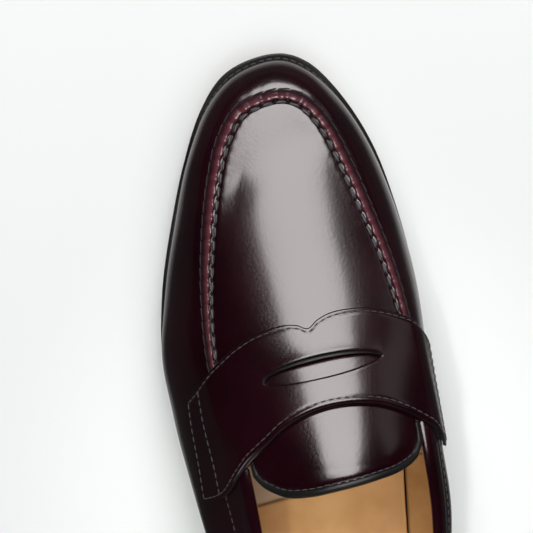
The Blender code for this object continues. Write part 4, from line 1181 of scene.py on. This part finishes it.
# ---------------------------------------------------------------- insole and sock
# The insole is a firm board of leather. Over its rear half lies a thin tan sock with a foam pad under the
# heel. The sock's front edge is cut straight across and shows its paler thickness.
SOCK = hide("tan_sock_calf", (0.62, 0.33, 0.125), (0.78, 0.46, 0.20), (0.42, 0.52), 1300.0, 0.12,
            patina_scale=45.0)
FOAM = hide("latex_foam", (0.62, 0.58, 0.46), (0.74, 0.70, 0.58), (0.85, 0.95), 600.0, 0.5)
SOCK_INSET = 5.15
SOCK_FRONT = (174.5, 10.5)             # station of its front edge on the medial side, and its slant
SOCK_OVER = FOOT + 3.0 + GAP + 1.2     # sock's face above the underside of the outsole, in front of the pad
PAD_LIFT = 1.7

for node, name, finish, slot in (("insole", "insole_board", PALE, "insole_leather"),
                                 ("heel_pad", "foam_heel_pad", FOAM, "foam")):
    board = copy_of(node, name, quads=True)
    finish_with(board, "BEVEL", width=0.0003, segments=2, limit_method="ANGLE", angle_limit=math.radians(50))
    finish_with(board, "SUBSURF", levels=2, render_levels=2)
    board.data.shade_smooth()
    dress(board, (finish,), "shoe", (node,))


def sock_surface(s, t):
    """Sock from its slanting front edge to the back of the heel, its border turned up at the wall."""
    start = SOCK_FRONT[0] + SOCK_FRONT[1] * s
    ring = np.linspace(0.0, HEEL, 1401)
    lateral, medial = (sole_edge(side, np.full(1401, SOCK_INSET), 0.0) for side in (ring, ROWS - ring))
    station = start + (lateral[:, 0].max() - 0.05 - start) * (1 - (1 - t) ** 1.6)
    outer, inner = (np.interp(station, *edge[:edge[:, 0].argmax() + 1, :2].T) for edge in (lateral, medial))
    across = inner + (outer - inner) * s
    border = np.exp(-np.minimum(s, 1 - s) * (outer - inner) / 1.2)
    height = SOCK_OVER + PAD_LIFT * rise(206.0, 224.0, station) + 0.9 * border
    return np.stack((station, across, sole_height(station) + height), -1)


sock = laid_grid("half_sock", 90, 130, sock_surface, outward=(220.0, 3.0, -100.0))
finish_with(sock, "SOLIDIFY", thickness=1.1 * MM, offset=-1.0, use_rim=True)
dress(sock, (SOCK,), "shoe", ("sock_liner",))


# ---------------------------------------------------------------- inside the bottom
# Between insole and outsole are the canvas rib that the welt is sewn to, a cork bed, a steel shank in the
# waist, and the seat's filler. Canvas stiffeners keep the toe and the back in shape. All keep drafted shapes.
CANVAS = hide("glued_canvas", (0.44, 0.38, 0.27), (0.58, 0.52, 0.40), (0.85, 0.95), 1600.0, 0.5)
CORK = hide("ground_cork", (0.25, 0.13, 0.055), (0.48, 0.30, 0.15), (0.85, 0.95), 500.0, 0.6,
            patina_scale=600.0)
STEEL = hide("shank_spring_steel", (0.30, 0.30, 0.31), (0.45, 0.45, 0.46), (0.3, 0.45), 3000.0, 0.05)
STEEL.node_tree.nodes["Principled BSDF"].inputs["Metallic"].default_value = 1.0
for node, finish in (("insole_rib", CANVAS), ("cork_filler", CORK), ("seat_filler", CANVAS), ("shank", STEEL),
                     ("toe_puff", CANVAS), ("heel_counter", CANVAS)):
    piece = frame["nodes"][node]
    piece.data.materials.clear()
    piece.data.materials.append(finish)


# ---------------------------------------------------------------- floor, lights and camera
# The shoe stands on a plain white table. A large soft box in front draws the broad stripe down the apron. In
# reflections the table's colour is painted: bright along both sides of the upper and fading to a painted dark
# further out, while the camera sees it evenly white.
bpy.ops.object.select_all(action="DESELECT")
bpy.ops.mesh.primitive_plane_add(size=6.0, location=(0.0, 0.0, -0.0001))
table = bpy.context.object
table.name = "white_table"
table_paint, tree, shader = paint("white_table_paint")
shader.inputs["Roughness"].default_value = 0.8
shader.inputs["Specular IOR Level"].default_value = 0.1
here = add_node(tree, "ShaderNodeTexCoord")
oval = add_node(tree, "ShaderNodeMapping",
                # painted reflection: for glossy rays the table is bright near the shoe and painted dark
                # further out
                (("Scale", (1 / 0.060, 1 / 0.162, 0.0)), ("Location", (0.08, 0.0, 0.0))))
spread_out = add_node(tree, "ShaderNodeVectorMath", operation="LENGTH")
painted_reflection_falloff = add_node(tree, "ShaderNodeMapRange",
                   (("From Min", 0.95), ("From Max", 1.30), ("To Min", 0.50), ("To Max", 0.02)))
seen_by = add_node(tree, "ShaderNodeLightPath")
reflected_table_painted_shade = add_node(tree, "ShaderNodeMix", data_type="RGBA", values=((6, (0.835, 0.880, 0.872, 1.0)),))
wire(tree, (here, "Object", oval, "Vector"), (oval, "Vector", spread_out, 0),
     (spread_out, "Value", painted_reflection_falloff, "Value"), (painted_reflection_falloff, "Result", reflected_table_painted_shade, 7),
     (seen_by, "Is Glossy Ray", reflected_table_painted_shade, 0), (reflected_table_painted_shade, 2, shader, "Base Color"))
table.data.materials.append(table_paint)

world = bpy.data.worlds.new("studio")
world.use_nodes = True
sky = world.node_tree.nodes["Background"]
sky.inputs["Color"].default_value = (1.0, 1.0, 1.0, 1.0)
ray = add_node(world.node_tree, "ShaderNodeLightPath")
sky_level = add_node(world.node_tree, "ShaderNodeMapRange", (("To Min", 0.005), ("To Max", 0.90)))
wire(world.node_tree, (ray, "Is Camera Ray", sky_level, "Value"), (sky_level, "Result", sky, "Strength"))
bpy.context.scene.world = world


def hung_lamp(name, kind, power, glossy=False, **settings):
    """A light of one kind with its own settings."""
    light = bpy.data.lights.new(name, kind)
    light.energy = power
    for key, value in settings.items():
        setattr(light, key, value)
    lamp = bpy.data.objects.new(name, light)
    bpy.context.scene.collection.objects.link(lamp)
    lamp.visible_glossy = glossy
    return lamp


def aim(lamp, location, target, turn=0.0):
    """Put a light somewhere, aimed at a point and turned by degrees in its own plane."""
    lamp.location = location
    towards = (Vector(target) - Vector(location)).to_track_quat("-Z", "Y")
    lamp.rotation_euler = (towards @ Quaternion((0.0, 0.0, 1.0), math.radians(turn))).to_euler()


even_wash = hung_lamp("even_wash", "SUN", 1.68, angle=math.radians(60))
even_wash.rotation_euler = (math.radians(-14), math.radians(-6), 0.0)
for name, size, location, target, power, turn in (
        ("main_box", (1.20, 1.35), (-0.15, -1.15, 1.25), (-0.01, -0.05, 0.05), 23.0, -10.0),
        ("lateral_box", (0.9, 0.5), (1.7, 1.5, 0.9), (0.0, 0.0, 0.05), 2.0, 0.0),
        ("medial_box", (0.9, 0.5), (-1.9, -1.3, 0.9), (0.0, 0.0, 0.05), 0.4, 0.0),
        ("rear_box", (0.9, 0.5), (-0.5, 2.3, 0.8), (0.0, 0.1, 0.05), 2.0, 0.0)):
    box = hung_lamp(name, "AREA", power, glossy=True, shape="RECTANGLE", size=size[0], size_y=size[1],
                    color=(1.0, 0.945, 0.95))
    aim(box, location, target, turn)
opening_spot = hung_lamp("opening_spot", "SPOT", 75.0, color=(1.0, 0.97, 0.93), spot_size=0.095,
                         spot_blend=0.8, shadow_soft_size=0.12)
aim(opening_spot, (0.32, 0.22, 1.2), (0.0, 0.06, 0.03))

camera = bpy.data.objects.new("camera", bpy.data.cameras.new("camera"))
bpy.context.scene.collection.objects.link(camera)
camera.data.sensor_width = 36.0
camera.data.lens = 103.3
camera.location = (0.0074, -0.0631, 0.65)
camera.rotation_euler = (0.0, 0.0, 3.0159)
camera.data.clip_start = 0.01
bpy.context.scene.camera = camera
bpy.context.scene.view_settings.view_transform = "Standard"
